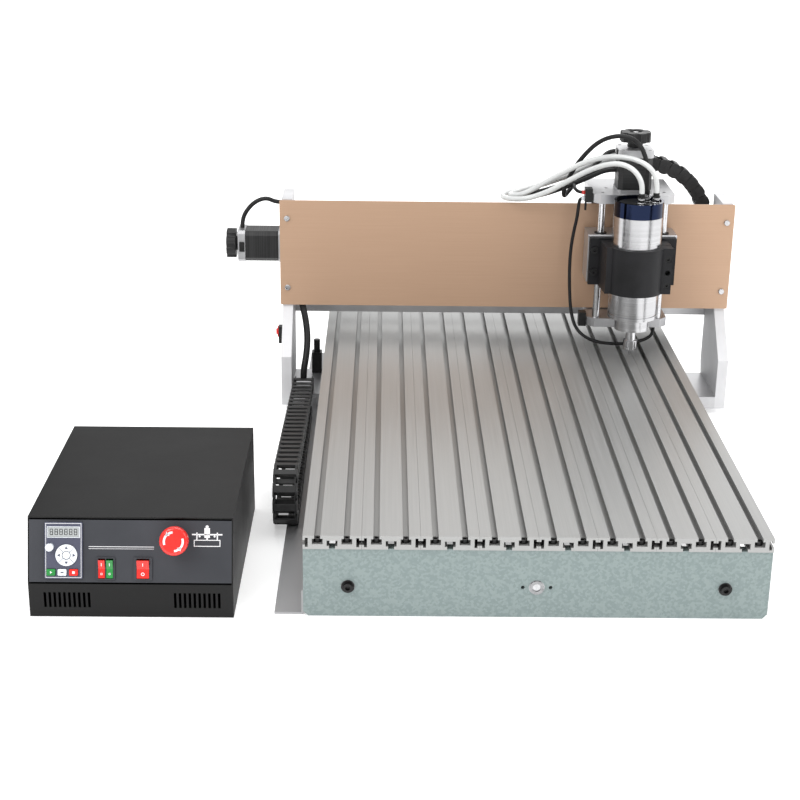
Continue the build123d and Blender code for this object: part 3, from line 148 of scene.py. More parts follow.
def finish_of(name, dark, light, rough, metal=0.0, stretch=(1, 1, 1), scale=60, fine=900,
              bump=0.1, depth=0.0002, coat=0.0, effect="grain"):
    """A material whose colour and roughness vary between two values with its grain."""
    made = bpy.data.materials.new(name)
    made.use_nodes = True
    tree = made.node_tree
    shader = tree.nodes["Principled BSDF"]
    shader.inputs["Metallic"].default_value = metal
    shader.inputs["Coat Weight"].default_value = coat
    shader.inputs["Coat Roughness"].default_value = 0.08
    source = tree.nodes.new("ShaderNodeGroup")
    source.node_tree = bpy.data.node_groups[effect]
    source.name = "source"
    if effect == "grain":
        source.inputs["Stretch"].default_value = stretch
        source.inputs["Fine"].default_value = fine
    source.inputs["Scale"].default_value = scale
    colours = tree.nodes.new("ShaderNodeValToRGB")
    colours.name = "colours"
    colours.color_ramp.elements[0].position = 0.3
    colours.color_ramp.elements[0].color = (*dark, 1)
    colours.color_ramp.elements[1].position = 0.7
    colours.color_ramp.elements[1].color = (*light, 1)
    spread = tree.nodes.new("ShaderNodeMapRange")
    spread.inputs["From Min"].default_value = 0.3
    spread.inputs["From Max"].default_value = 0.7
    spread.inputs["To Min"].default_value = rough[0]
    spread.inputs["To Max"].default_value = rough[1]
    relief = tree.nodes.new("ShaderNodeBump")
    relief.inputs["Strength"].default_value = bump
    relief.inputs["Distance"].default_value = depth
    tree.links.new(source.outputs["Mask"], colours.inputs["Fac"])
    tree.links.new(source.outputs["Mask"], spread.inputs["Value"])
    tree.links.new(source.outputs["Height"], relief.inputs["Height"])
    tree.links.new(colours.outputs["Color"], shader.inputs["Base Color"])
    tree.links.new(spread.outputs["Result"], shader.inputs["Roughness"])
    tree.links.new(relief.outputs["Normal"], shader.inputs["Normal"])
    return made


def grey(value):
    """A neutral colour."""
    return (value, value, value * 1.02)


# %% The machine's metals
slat_metal = finish_of("anodised slats", (0.325, 0.327, 0.322), (0.37, 0.37, 0.365), (0.36, 0.44),
                       0.6, (220, 1.2, 220), 5, 30, 0.06)
tray_steel = finish_of("tray steel", grey(0.32), grey(0.38), (0.36, 0.46), 0.5, scale=6,
                       fine=1200, bump=0.05)
zinc = finish_of("spangled zinc", (0.19, 0.235, 0.232), (0.245, 0.295, 0.29), (0.46, 0.60), 0.35,
                 scale=420, effect="spangle", bump=0.10)
milled = finish_of("milled aluminium", grey(0.46), grey(0.54), (0.30, 0.42), 0.85,
                   (8, 200, 8), 5, 40, 0.12)
frosted = finish_of("frosted aluminium", grey(0.58), grey(0.66), (0.50, 0.62), 0.5,
                    scale=30, fine=1600, bump=0.12)
bronze = finish_of("brushed bronze", (0.455, 0.295, 0.195), (0.495, 0.325, 0.22), (0.42, 0.52),
                   0.30, (1.5, 1, 420), 6, 30, 0.06)
ground = finish_of("ground steel", grey(0.50), grey(0.62), (0.10, 0.18), 1.0,
                   (60, 60, 60), 8, 60, 0.04)
rolled = finish_of("rolled screw", grey(0.42), grey(0.60), (0.22, 0.34), 1.0,
                   scale=200, fine=1500, bump=0.2)
black_steel = finish_of("black oxide", grey(0.010), grey(0.022), (0.30, 0.42), 0.6,
                        scale=150, bump=0.1)
clamp_black = finish_of("hard anodised black", (0.012, 0.012, 0.013), (0.018, 0.018, 0.020),
                        (0.42, 0.52), 0.1, scale=40, fine=2200, bump=0.25)
chrome = finish_of("polished chrome", grey(0.42), grey(0.52), (0.08, 0.14), 1.0, scale=80,
                   bump=0.02)
carbide = finish_of("ground carbide", grey(0.22), grey(0.34), (0.2, 0.3), 1.0, scale=300)
print("metals ready")

# %% Plastics, rubber and paint
chain_black = finish_of("chain plastic", grey(0.020), grey(0.034), (0.42, 0.55), scale=90,
                        fine=1800, bump=0.12)
knob_black = finish_of("knob plastic", grey(0.012), grey(0.022), (0.32, 0.44), scale=90,
                       fine=1500, bump=0.12)
rubber = finish_of("cable rubber", grey(0.010), grey(0.018), (0.36, 0.48), scale=120,
                   fine=900, bump=0.08)
box_paint = finish_of("box paint", grey(0.006), grey(0.009), (0.46, 0.56), scale=12,
                      fine=2600, bump=0.22)
panel_grey = finish_of("panel grey", (0.040, 0.042, 0.048), (0.052, 0.054, 0.062),
                       (0.40, 0.50), 0.1, scale=14, fine=2400, bump=0.10)
keypad_film = finish_of("keypad film", (0.060, 0.064, 0.098), (0.072, 0.077, 0.115),
                        (0.30, 0.38), scale=20, fine=2000, bump=0.05)
print_white = finish_of("printed white", grey(0.74), grey(0.80), (0.40, 0.50), scale=60,
                        bump=0.02)
key_white = finish_of("white keys", (0.70, 0.74, 0.78), (0.80, 0.83, 0.86), (0.25, 0.33),
                      scale=60, bump=0.02, coat=0.2)
key_red = finish_of("red plastic", (0.62, 0.010, 0.006), (0.76, 0.018, 0.010), (0.20, 0.28),
                    scale=40, bump=0.02, coat=0.3)
key_green = finish_of("green plastic", (0.010, 0.20, 0.035), (0.02, 0.28, 0.05), (0.22, 0.30),
                      scale=40, bump=0.02, coat=0.3)
display = finish_of("display window", (0.34, 0.36, 0.36), (0.40, 0.42, 0.42), (0.16, 0.22),
                    scale=30, bump=0.01)
board_green = finish_of("circuit board", (0.02, 0.10, 0.04), (0.03, 0.14, 0.06), (0.3, 0.4),
                        scale=50)
milky = finish_of("milky tube", (0.55, 0.56, 0.56), (0.64, 0.65, 0.64), (0.18, 0.26),
                  scale=30, fine=300, bump=0.03, coat=0.4)
sockets_of(milky)["Subsurface Weight"].default_value = 0.25
sockets_of(milky)["Subsurface Radius"].default_value = (0.004,) * 3
DULL_LEVEL = 0.22
for dull in (clamp_black, chain_black, knob_black, rubber, box_paint, panel_grey):
    sockets_of(dull)["Specular IOR Level"].default_value = DULL_LEVEL
print("plastics ready")

# %% [markdown]
# ## Finishes that change along a part
# The spindle's can is brushed below and mirror-polished in a band at its top. The band's
# near-black blue colour is a painted reflection, not the chrome's own colour. Rather than
# cutting the solid, the material looks at the height of each point and swaps its values.

# %% The spindle's two zones
spindle_metal = finish_of("spindle steel", grey(0.40), grey(0.54), (0.16, 0.26), 1.0,
                          (1, 1, 260), 5, 30, 0.12)


def zone_by_height(material, edge, colour, rough):
    """Above the edge height, the material takes another colour and roughness."""
    tree = material.node_tree
    shader = tree.nodes["Principled BSDF"]
    place = tree.nodes.new("ShaderNodeTexCoord")
    split = tree.nodes.new("ShaderNodeSeparateXYZ")
    above = tree.nodes.new("ShaderNodeMath")
    above.operation = "GREATER_THAN"
    above.inputs[1].default_value = edge
    tree.links.new(place.outputs["Object"], split.inputs[0])
    tree.links.new(split.outputs["Z"], above.inputs[0])
    tint = tree.nodes.new("ShaderNodeMix")
    tint.data_type = "RGBA"
    tint.inputs[7].default_value = (*colour, 1)
    tree.links.new(above.outputs[0], tint.inputs[0])
    tree.links.new(tree.nodes["colours"].outputs["Color"], tint.inputs[6])
    tree.links.new(tint.outputs[2], shader.inputs["Base Color"])
    gloss = tree.nodes.new("ShaderNodeMix")
    gloss.inputs[3].default_value = rough
    old = shader.inputs["Roughness"].links[0].from_socket
    tree.links.new(above.outputs[0], gloss.inputs[0])
    tree.links.new(old, gloss.inputs[2])
    tree.links.new(gloss.outputs[0], shader.inputs["Roughness"])


BAND_HEIGHT = 0.2905
# The band's near-black blue is a painted reflection of dark and blue surroundings in the chrome.
zone_by_height(spindle_metal, BAND_HEIGHT, (0.014, 0.020, 0.045), 0.05)
print("spindle has a polished band")

# %% Give the solid parts their finishes
finishes = {
    slat_metal: ["table_slats"],
    zinc: ["front_plate", "rear_plate"],
    tray_steel: ["cable_tray"],
    milled: ["crossbar", "y_bearing_blocks", "rear_beam", "carriage_block", "z_top_plate",
             "z_bottom_plate", "chain_bracket", "slide_block"],
    frosted: ["side_plate_left", "side_plate_right"],
    bronze: ["cover_panel"],
    ground: ["y_guide_rods", "x_guide_rods", "z_guide_rods", "spindle_shaft"],
    rolled: ["y_screw", "x_screw", "z_screw", "cover_screws", "y_screw_bearings"],
    black_steel: ["base_screws", "clamp_screws"],
    clamp_black: ["spindle_clamp"],
    spindle_metal: ["spindle_body"],
    chrome: ["collet_nut"],
    carbide: ["cutter_bit"],
    knob_black: ["z_switches", "gantry_switches"],
    box_paint: ["controller_shell", "controller_chassis"],
    panel_grey: ["controller_front"],
    keypad_film: ["keypad_plate"],
    board_green: ["controller_board"],
    key_red: ["estop_button", "power_rocker", "pump_rocker", "stop_key"],
    key_green: ["spindle_rocker", "start_key"],
    key_white: ["speed_knob", "arrow_pad", "centre_key", "mode_key"],
}
for material, names in finishes.items():
    for name in names:
        mesh = nodes[name].data
        mesh.materials.clear()
        mesh.materials.append(material)
print("finished", sum(len(v) for v in finishes.values()), "solid parts")

# %% [markdown]
# ## Tubes and cables
# A hose is one smooth line with a round section. A NURBS curve through a few listed
# points bends like rubber does, without the flat spots of straight pieces. Where a hose has
# one end on the spindle and one on the carriage, it becomes a plain mesh, fixed in place.

# %% A helper that runs a cord along its route
def route_curve(name, points):
    """A smooth curve with no thickness along a route in millimetres."""
    data = bpy.data.curves.new(name, "CURVE")
    data.dimensions = "3D"
    data.resolution_u = 8
    spline = data.splines.new("NURBS")
    spline.points.add(len(points) - 1)
    for control, (x, y, z) in zip(spline.points, points):
        control.co = (x * MM, y * MM, z * MM, 1)
    spline.order_u = 3
    spline.use_endpoint_u = True
    line = bpy.data.objects.new(name, data)
    bpy.context.collection.objects.link(line)
    return line


def centreline(line):
    """The points of a curve that has no thickness yet."""
    mesh = bpy.data.meshes.new_from_object(line)
    points = [vertex.co.copy() for vertex in mesh.vertices]
    bpy.data.meshes.remove(mesh)
    return points


def lay_cord(name, points, diameter, material, body, node, bend_to=None):
    """A cord that rides on a body, or, with bend_to set, a mesh fixed in place."""
    line = route_curve(name, points)
    path = centreline(line)
    line.data.bevel_depth = diameter * MM / 2
    line.data.bevel_resolution = 4
    line.data.use_fill_caps = True
    line.data.materials.append(material)
    if bend_to:
        bpy.ops.object.select_all(action="DESELECT")
        line.select_set(True)
        bpy.context.view_layer.objects.active = line
        bpy.ops.object.convert(target="MESH")
        line = bpy.context.view_layer.objects.active
        line.name = name
        bpy.ops.object.shade_smooth_by_angle(angle=math.radians(40))
        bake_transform(line)
    else:
        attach(line, body)
    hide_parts(node)
    return line


# %% The two coolant tubes
coolant_in = [
    (194, 557, 321.5), (194, 557, 333), (190, 559, 346), (182, 564, 355), (169, 572, 361),
    (150, 583, 363), (127, 596, 359.5), (103, 607, 350), (79, 618, 334), (58, 627, 320),
    (40, 634, 307), (25, 637.5, 299), (12, 649, 295), (12, 667, 293), (25, 679.5, 295),
    (46, 680, 301), (68, 680, 309), (90, 680, 318), (111, 683, 327), (130, 689, 336),
    (148, 698, 343), (162, 698, 343),
]
coolant_out = [
    (174, 551, 321.5), (174, 551, 332), (169, 553, 344), (160, 559, 353), (145, 568, 357.5),
    (125, 581, 352), (103, 594, 339.5), (80, 606, 323), (60, 615, 309), (42, 622, 300),
    (23, 627.5, 294.5), (1.5, 646, 292), (1.5, 670, 292), (23, 688.5, 293), (44, 690, 297),
    (66, 690, 304), (88, 690, 312), (110, 691, 320), (130, 695, 328), (148, 700, 333),
    (162, 700, 333),
]
for name, points in (("coolant_tube_in", coolant_in), ("coolant_tube_out", coolant_out)):
    tube = lay_cord(name, points, 7, milky, "x_carriage", "coolant_tubes", "z_carriage")

# %% The spindle's cable and the head motor's lead
supply = [
    (184, 573, 321.5), (184, 573, 345), (180.5, 574, 362), (173, 576, 379), (160, 580, 389),
    (142, 588, 390), (122, 602, 380), (105, 616, 359), (91, 628, 334), (83, 633, 312),
    (82, 638, 300), (85, 647, 295.5), (92, 656, 302), (103, 661, 314), (120, 668, 327),
    (136, 679, 340), (148, 690, 350), (162, 690, 350),
]
motor_lead = [
    (150.8, 638, 334), (138, 638, 334), (121, 641, 325), (93, 646, 311), (68, 647, 301),
    (50, 646, 296), (36, 646, 293.5), (29, 653, 293), (29, 663, 293), (36, 670, 293.5),
    (56, 671, 297), (78, 671, 304), (100, 672, 311), (120, 676, 318), (136, 684, 325),
    (150, 690, 327), (162, 690, 327),
]
supply_cable = lay_cord("supply_cable", supply, 6, rubber, "x_carriage", "spindle_cable",
                        "z_carriage")
lead = lay_cord("head_motor_lead", motor_lead, 6, rubber, "x_carriage", "spindle_cable")

# %% The switch harness, the gantry motor's cable and the chain's wires
harness_up = [(108, 615, 308), (102, 615, 308), (96.5, 620, 310), (95.5, 632, 312),
              (96.5, 641.6, 312.4)]
harness_down = [
    (108, 615, 300), (103.5, 615, 300), (101, 616, 296), (100, 618, 274), (96, 621, 250),
    (93.5, 622, 225), (93.5, 622, 196), (95, 618, 165), (97, 611, 142), (103, 602, 122),
    (117, 595, 110), (136, 592, 104.5), (155, 592, 103), (174, 593, 103), (193, 599, 105),
    (206, 602, 110), (210, 602, 117), (210, 602, 124.5),
]
motor_cable = [(-357, 682, 238.5), (-357, 682, 250), (-350, 682, 264), (-338, 682, 276),
               (-323, 682, 281), (-310, 682, 275), (-300, 682, 275)]
wires = [(-270.5, 617, 41.2), (-270.5, 617, 52), (-267, 627, 70), (-265.5, 638, 92),
         (-268, 648, 114), (-273, 656, 134), (-278, 664, 158), (-278, 664, 176)]
cables = [
    ("switch_lead", harness_up, 4.5, "x_carriage", "switch_harness"),
    ("switch_lead_low", harness_down, 4.5, "x_carriage", "switch_harness"),
    ("gantry_motor_cable", motor_cable, 6, "gantry", "x_motor_cable"),
    ("chain_wire_bundle", wires, 9, "gantry", "chain_wires"),
]
for name, points, diameter, body, node in cables:
    cable = lay_cord(name, points, diameter, rubber, body, node)

# %% [markdown]
# ## Modelling helpers
# Every new piece starts from a primitive and is shaped in edit mode. These helpers select
# faces by a rule, bevel edges and settle a piece, so that its object sits at the origin.

# %% Helpers for shaping
def only(piece):
    """Make this piece the only selected and active one."""
    bpy.ops.object.select_all(action="DESELECT")
    piece.select_set(True)
    bpy.context.view_layer.objects.active = piece


def settle(piece, name=None, material=None):
    """Apply the piece's place to its mesh, name it and give it a material."""
    only(piece)
    bpy.ops.object.transform_apply(location=True, rotation=True, scale=True)
    if name:
        piece.name = name
    if material:
        piece.data.materials.clear()
        piece.data.materials.append(material)
    return piece


def add_block(low, high, bevel=0.0, segments=2):
    """A block between two corners in millimetres, with bevelled edges."""
    middle = [(a + b) / 2 for a, b in zip(low, high)]
    bpy.ops.object.select_all(action="DESELECT")
    bpy.ops.mesh.primitive_cube_add(size=1, location=mm(*middle))
    piece = bpy.context.active_object
    piece.scale = mm(*[b - a for a, b in zip(low, high)])
    bpy.ops.object.transform_apply(location=True, rotation=True, scale=True)
    if bevel:
        bpy.ops.object.mode_set(mode="EDIT")
        bpy.ops.mesh.select_all(action="SELECT")
        bpy.ops.mesh.bevel(offset=bevel * MM, segments=segments, affect="EDGES")
        bpy.ops.object.mode_set(mode="OBJECT")
    return piece


def add_disc(centre, radius, height, sides=48, bevel=0.0, turn=(0, 0, 0)):
    """A cylinder that stands on its centre point in millimetres, with bevelled rims."""
    bpy.ops.object.select_all(action="DESELECT")
    bpy.ops.mesh.primitive_cylinder_add(vertices=sides, radius=radius * MM, depth=height * MM)
    piece = bpy.context.active_object
    if bevel:
        select_faces(piece, lambda middle, normal: abs(normal.z) > 0.9)
        bpy.ops.mesh.bevel(offset=bevel * MM, segments=2, affect="EDGES")
        bpy.ops.object.mode_set(mode="OBJECT")
    bpy.ops.object.shade_smooth_by_angle(angle=math.radians(40))
    spin = Euler(turn).to_matrix().to_4x4()
    stand = Matrix.Translation((0, 0, height * MM / 2))
    piece.matrix_world = Matrix.Translation(mm(*centre)) @ spin @ stand
    bpy.ops.object.transform_apply(location=True, rotation=True, scale=True)
    return piece


def select_faces(piece, rule):
    """Enter edit mode with only the faces that fit the rule selected."""
    only(piece)
    bpy.ops.object.mode_set(mode="EDIT")
    bpy.ops.mesh.select_mode(type="FACE")
    bpy.ops.mesh.select_all(action="DESELECT")
    bpy.ops.object.mode_set(mode="OBJECT")
    for face in piece.data.polygons:
        face.select = bool(rule(face.center, face.normal))
    bpy.ops.object.mode_set(mode="EDIT")


def bevel_where(piece, rule, offset, segments=3):
    """Bevel the edges whose two ends fit a rule."""
    only(piece)
    bpy.ops.object.mode_set(mode="EDIT")
    bpy.ops.mesh.select_mode(type="EDGE")
    bpy.ops.mesh.select_all(action="DESELECT")
    bpy.ops.object.mode_set(mode="OBJECT")
    for edge in piece.data.edges:
        a, b = (piece.data.vertices[i].co for i in edge.vertices)
        edge.select = bool(rule(a, b))
    bpy.ops.object.mode_set(mode="EDIT")
    bpy.ops.mesh.bevel(offset=offset * MM, segments=segments, affect="EDGES")
    bpy.ops.object.mode_set(mode="OBJECT")
    return piece


def copy_at(piece, matrix):
    """A copy with its own mesh, moved by a matrix."""
    twin = piece.copy()
    twin.data = piece.data.copy()
    bpy.context.collection.objects.link(twin)
    twin.matrix_world = matrix @ piece.matrix_world
    return twin


def unite(pieces, name, material=None):
    """Join pieces into one mesh at the origin."""
    bpy.ops.object.select_all(action="DESELECT")
    for piece in pieces:
        piece.select_set(True)
    bpy.context.view_layer.objects.active = pieces[0]
    bpy.ops.object.join()
    return settle(bpy.context.active_object, name, material)


print("helpers ready")

# %% [markdown]
# ## Cable chains
# A drag chain is a row of equal links: two side plates with a round pivot, and bars across
# the top and bottom. One link is modelled, then copied along the route. The row is split in
# three where it bends, because its two ends belong to bodies that move apart.

# %% Model one link
WALL = 1.8
INNER_WALL = 3.2


def make_link(pitch, height, width):
    """One link along X, centred on the origin: side plates, pivots and cross bars."""
    parts = []
    half = width / 2
    for side in (-1, 1):
        y0, y1 = sorted((side * half, side * (half - WALL)))
        plate = add_block((-pitch * 0.62, y0, -height / 2), (pitch * 0.36, y1, height / 2))
        parts.append(bevel_where(plate, lambda a, b: abs(a.y - b.y) > 0.5 * MM, height * 0.30))
        y0, y1 = sorted((side * (half - WALL), side * (half - INNER_WALL)))
        parts.append(add_block((0, y0, -height * 0.40), (pitch * 0.72, y1, height * 0.40)))
        parts.append(add_disc((-pitch * 0.32, side * (half - 0.3), 0), height * 0.20, 0.6, 12,
                              turn=(math.radians(-90 * side), 0, 0)))
    for level in (-1, 1):
        z0, z1 = sorted((level * height / 2, level * (height / 2 - 2)))
        bar = (-pitch * 0.36, -half + 1, z0), (pitch * 0.12, half - 1, z1)
        parts.append(add_block(*bar, bevel=0.4, segments=1))
    return unite(parts, "link", chain_black)


def link_matrix(point, direction, side):
    """Stand a link at a point, along a direction; side is the chain's width direction."""
    along = direction.normalized()
    across = side.normalized()
    up = along.cross(across)
    turn = Matrix((along, across, up)).transposed().to_4x4()
    return Matrix.Translation(point) @ turn


def run_of_links(name, link, start, end, count, side):
    """Equal links on a straight run."""
    step = (end - start) / count
    spots = [start + step * (i + 0.5) for i in range(count)]
    return unite([copy_at(link, link_matrix(p, step, side)) for p in spots], name)


def bend_of_links(name, link, centre, radius, first, last, count, side, level):
    """Equal links round a bend; level gives the directions of angle 0 and 90 degrees."""
    made = []
    sign = 1 if last > first else -1
    for i in range(count):
        angle = math.radians(first + (last - first) * (i + 0.5) / count)
        rise = Vector((0, 0, radius * math.sin(angle)))
        middle = centre + level * (radius * math.cos(angle)) + rise
        heading = (level * -math.sin(angle) + Vector((0, 0, math.cos(angle)))) * sign
        made.append(copy_at(link, link_matrix(middle, heading, side)))
    return unite(made, name)


# %% The bed's chain
bed_link = make_link(17.3, 16, 28)
right = Vector((1, 0, 0))
back = Vector((0, 1, 0))
BED_X = -270.5
LOW_Z, BEND_Z, HIGH_Z, END_Z = 10.2, 37.7, 65.2, 33.2
bed_counts = {"low": 20, "bend": 5, "high": 22, "end": 1}
bed_low = run_of_links("bed_chain_low", bed_link, mm(BED_X, 566, LOW_Z), mm(BED_X, 220, LOW_Z),
                       bed_counts["low"], right)
bed_bend = bend_of_links("bed_chain_bend", bed_link, mm(BED_X, 220, BEND_Z), 0.0275, -90, -270,
                         bed_counts["bend"], right, back)
bed_high = run_of_links("bed_chain_high", bed_link, mm(BED_X, 220, HIGH_Z), mm(BED_X, 602, END_Z),
                        bed_counts["high"], right)
bed_end = run_of_links("bed_chain_end", bed_link, mm(BED_X, 602, END_Z), mm(BED_X, 625, END_Z),
                       bed_counts["end"], right)
bpy.data.objects.remove(bed_link)
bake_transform(bed_low)
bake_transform(bed_bend)
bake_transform(bed_high)
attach(bed_end, "gantry")
for piece in (bed_low, bed_bend, bed_high, bed_end):
    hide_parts("y_chain")
print("bed chain of", sum(bed_counts.values()), "links")

# %% The gantry's chain
beam_link = make_link(15.5, 20, 28)
BEAM_Y = 728
LOW_Z, BEND_Z, HIGH_Z = 147.3, 236.8, 326.3
beam_low = run_of_links("beam_chain_low", beam_link, mm(-10, BEAM_Y, LOW_Z),
                        mm(205, BEAM_Y, LOW_Z), 14, back)
beam_bend = bend_of_links("beam_chain_bend", beam_link, mm(205, BEAM_Y, BEND_Z), 0.0895, -90, 90,
                          18, back, right)
beam_high = run_of_links("beam_chain_high", beam_link, mm(205, BEAM_Y, HIGH_Z),
                         mm(180, BEAM_Y, HIGH_Z), 2, back)
bpy.data.objects.remove(beam_link)
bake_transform(beam_low)
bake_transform(beam_bend)
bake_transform(beam_high)
for piece in (beam_low, beam_bend, beam_high):
    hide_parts("x_chain")
print("gantry chain ready")

# %% [markdown]
# ## Stepping motors
# A stepping motor is a stack of thin steel plates, painted black, between two cast end caps.
# Four long screws hold it together. Each is modelled upright and then turned to its shaft.

# %% A post, and a shared finish for several pieces
def square_post(side, z0, z1, corner, segments=1):
    """A square post on the Z axis with cut corners."""
    half = side / 2
    post = add_block((-half, -half, z0), (half, half, z1))
    return bevel_where(post, lambda a, b: abs(a.z - b.z) > 0.5 * MM, corner, segments)


def dress(pieces, material):
    """Give several pieces one material and return them."""
    for piece in pieces:
        piece.data.materials.clear()
        piece.data.materials.append(material)
    return pieces


def stand_on_shaft(piece, low, high, along, axis):
    """Turn an upright piece along its shaft and put it on the end face of its box."""
    face = (low + high) / 2
    face[axis] = high[axis] if along[axis] < 0 else low[axis]
    turn = along.to_track_quat("Z", "Y").to_matrix().to_4x4()
    piece.matrix_world = Matrix.Translation(face) @ turn
    return settle(piece)


# %% Model the three motors
motor_kinds = [
    ("gantry_motor", "x_motor", "gantry", Vector((-1, 0, 0)), 0),
    ("bed_motor", "y_motor", "base", Vector((0, 1, 0)), 1),
    ("head_motor", "z_motor", "x_carriage", Vector((0, 0, 1)), 2),
]
for name, node, body, along, axis in motor_kinds:
    low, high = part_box(node)
    size = (high - low) / MM
    length, side = size[axis], size[(axis + 1) % 3]
    bands = [1, 1, 1]
    bands[axis] = 160
    plates = finish_of(name + " plates", grey(0.008), grey(0.030), (0.30, 0.48), 0.3, bands,
                       8, 30, 0.25)
    cast = [square_post(side, 0, 6, 4), square_post(side, length - 10, length, 4)]
    cast.append(add_disc((0, 0, -0.4 if axis == 1 else 0.1), 11, 0.9, 40, 0.2))
    stack = [square_post(side - 1.6, 5.5, length - 9.5, 5.5)]
    spread = side / 2 - 5
    for x in (-spread, spread):
        for y in (-spread, spread):
            stack.append(add_disc((x, y, length - 1.2), 2.6, 1.3, 16, 0.2))
    plug = [add_block((side / 2 - 1, -7, length - 9), (side / 2 + 1.4, 7, length - 2), 0.5)]
    pieces = dress(cast, milled) + dress(stack, plates) + dress(plug, rubber)
    whole = stand_on_shaft(unite(pieces, name), low, high, along, axis)
    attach(whole, body)
    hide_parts(node)
    print(name, "length", round(length, 1), "side", round(side, 1))

# %% [markdown]
# ## Hand knobs
# The black knobs have a lobed rim for the fingers. The lobes are cut with a ring of small
# cylinders, and a bevel rounds the sharp rim that the cut leaves, as moulding does.

# %% Model the two hand knobs
def cut_away(piece, tools):
    """Cut one joined tool out of a piece."""
    tool = unite(tools, "tool")
    only(piece)
    cut = piece.modifiers.new("cut", "BOOLEAN")
    cut.operation = "DIFFERENCE"
    cut.solver = "EXACT"
    cut.object = tool
    bpy.ops.object.modifier_apply(modifier="cut")
    bpy.data.objects.remove(tool)
    return piece


def soften(piece, width):
    """Round the sharp edges of a piece."""
    only(piece)
    rim = piece.modifiers.new("rim", "BEVEL")
    rim.width = width * MM
    rim.segments = 2
    rim.limit_method = "ANGLE"
    rim.angle_limit = math.radians(50)
    bpy.ops.object.modifier_apply(modifier="rim")
    bpy.ops.object.shade_smooth_by_angle(angle=math.radians(35))


knob_kinds = [
    ("gantry_hand_knob", "x_knob", "x_screw_body", Vector((-1, 0, 0)), 0, 2.5),
    ("head_hand_knob", "z_knob", "z_screw_body", Vector((0, 0, 1)), 2, 7.5),
]
for name, node, body, along, axis, neck in knob_kinds:
    low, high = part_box(node)
    rim = add_disc((0, 0, neck), 20.5, 13, 64)
    lobes = [
        add_disc((22.7 * math.cos(a), 22.7 * math.sin(a), neck - 2), 4.6, 18, 24)
        for a in [math.radians(45 * i) for i in range(8)]
    ]
    soften(cut_away(rim, lobes), 1.2)
    cut_away(rim, [add_disc((0, 0, neck + 11.6), 8.5, 3, 40)])
    cap = add_disc((0, 0, neck + 11), 3.2, 1.6, 24, 0.3)
    hub = add_disc((0, 0, 0), 10.2, neck + 1, 40, 0.5)
    knob = unite(dress([rim, hub], knob_black) + dress([cap], ground), name)
    stand_on_shaft(knob, low, high, along, axis)
    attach(knob, body)
    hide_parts(node)
print("two hand knobs")

# %% [markdown]
# ## The top of the spindle
# Two push-in fittings take the coolant tubes, and a round metal plug takes the supply cable.
# All three stand in a recess inside the spindle's polished rim; a thin dark disc on its floor is
# painted shade.

# %% Model the fittings and the recess
fittings = []
for x, y in ((174, 551), (194, 557)):
    fittings += dress([add_disc((x, y, 305.5), 6.2, 4, 6, 0.4),
                       add_disc((x, y, 309.4), 4.6, 6, 32, 0.5)], chrome)
    fittings += dress([add_disc((x, y, 315.3), 5.2, 2.2, 32, 0.5),
                       add_disc((x, y, 317.4), 4.1, 4, 32, 0.6)], rubber)
x, y = 184, 573
for z, radius, height in ((305.5, 6.2, 2), (307.4, 5.4, 3.6), (311, 5.8, 1.2), (312.1, 5.2, 2.6),
                          (314.6, 5.6, 1.2)):
    fittings += dress([add_disc((x, y, z), radius, height, 36, 0.3)], chrome)
fittings += dress([add_disc((x, y, 315.7), 4.2, 5.8, 32, 0.8)], rubber)
fittings = unite(fittings, "spindle_fittings")
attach(fittings, "z_carriage")
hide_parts("tube_fittings")

# A thin dark disc laid on the recess floor is painted shade in the recess.
recess_shade = settle(add_disc((173, 562, 305.3), 28.6, 0.6, 64, 0.2), "spindle_well", rubber)
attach(recess_shade, "z_carriage")

# %% [markdown]
# ## Rings, plugs and a red switch
# Small parts give the head its scale: wiper rings on the rods, the crimped plugs of the
# switch leads, and a red push switch on the left upright.

# %% A ring made by spinning a small rectangle
def add_ring(centre, inner, outer, height, steps=48):
    """A flat ring that stands on its centre point in millimetres."""
    ring = add_block((inner, -0.01, 0), (outer, 0.01, height))
    select_faces(ring, lambda middle, normal: normal.y < -0.9)
    bpy.ops.mesh.select_all(action="INVERT")
    bpy.ops.mesh.delete(type="FACE")
    bpy.ops.mesh.select_all(action="SELECT")
    bpy.ops.mesh.spin(steps=steps, angle=math.tau, center=(0, 0, 0), axis=(0, 0, 1))
    bpy.ops.mesh.select_all(action="SELECT")
    bpy.ops.mesh.remove_doubles(threshold=0.00001)
    bpy.ops.object.mode_set(mode="OBJECT")
    select_faces(ring, lambda middle, normal: abs(middle.y) < 1e-6 and abs(normal.y) > 0.9)
    bpy.ops.mesh.delete(type="ONLY_FACE")
    bpy.ops.mesh.select_all(action="SELECT")
    bpy.ops.mesh.normals_make_consistent(inside=False)
    bpy.ops.object.mode_set(mode="OBJECT")
    bpy.ops.object.shade_smooth_by_angle(angle=math.radians(40))
    ring.matrix_world = Matrix.Translation(mm(*centre))
    return settle(ring)


rings = [add_ring((x, 608, 254.4), 5.2, 8.2, 1.2) for x in (131, 215)]
wipers = unite(rings, "rod_wipers", rubber)
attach(wipers, "z_carriage")

plugs = {
    "switch_plug_red": (306, 310.4, key_red),
    "switch_plug_white": (298, 302.4, key_white),
}
for name, (z0, z1, material) in plugs.items():
    plug = settle(add_block((103.8, 612.5, z0), (108.2, 617.5, z1), 0.5), name, material)
    bpy.ops.object.shade_smooth_by_angle(angle=math.radians(40))
    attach(plug, "x_carriage")

lever = unite([add_block((-307.6, 640, 93), (-305.9, 648, 107), 0.5),
               add_block((-309.6, 642, 96), (-307.4, 646, 104), 0.7)], "side_switch_key", key_red)
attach(lever, "gantry")

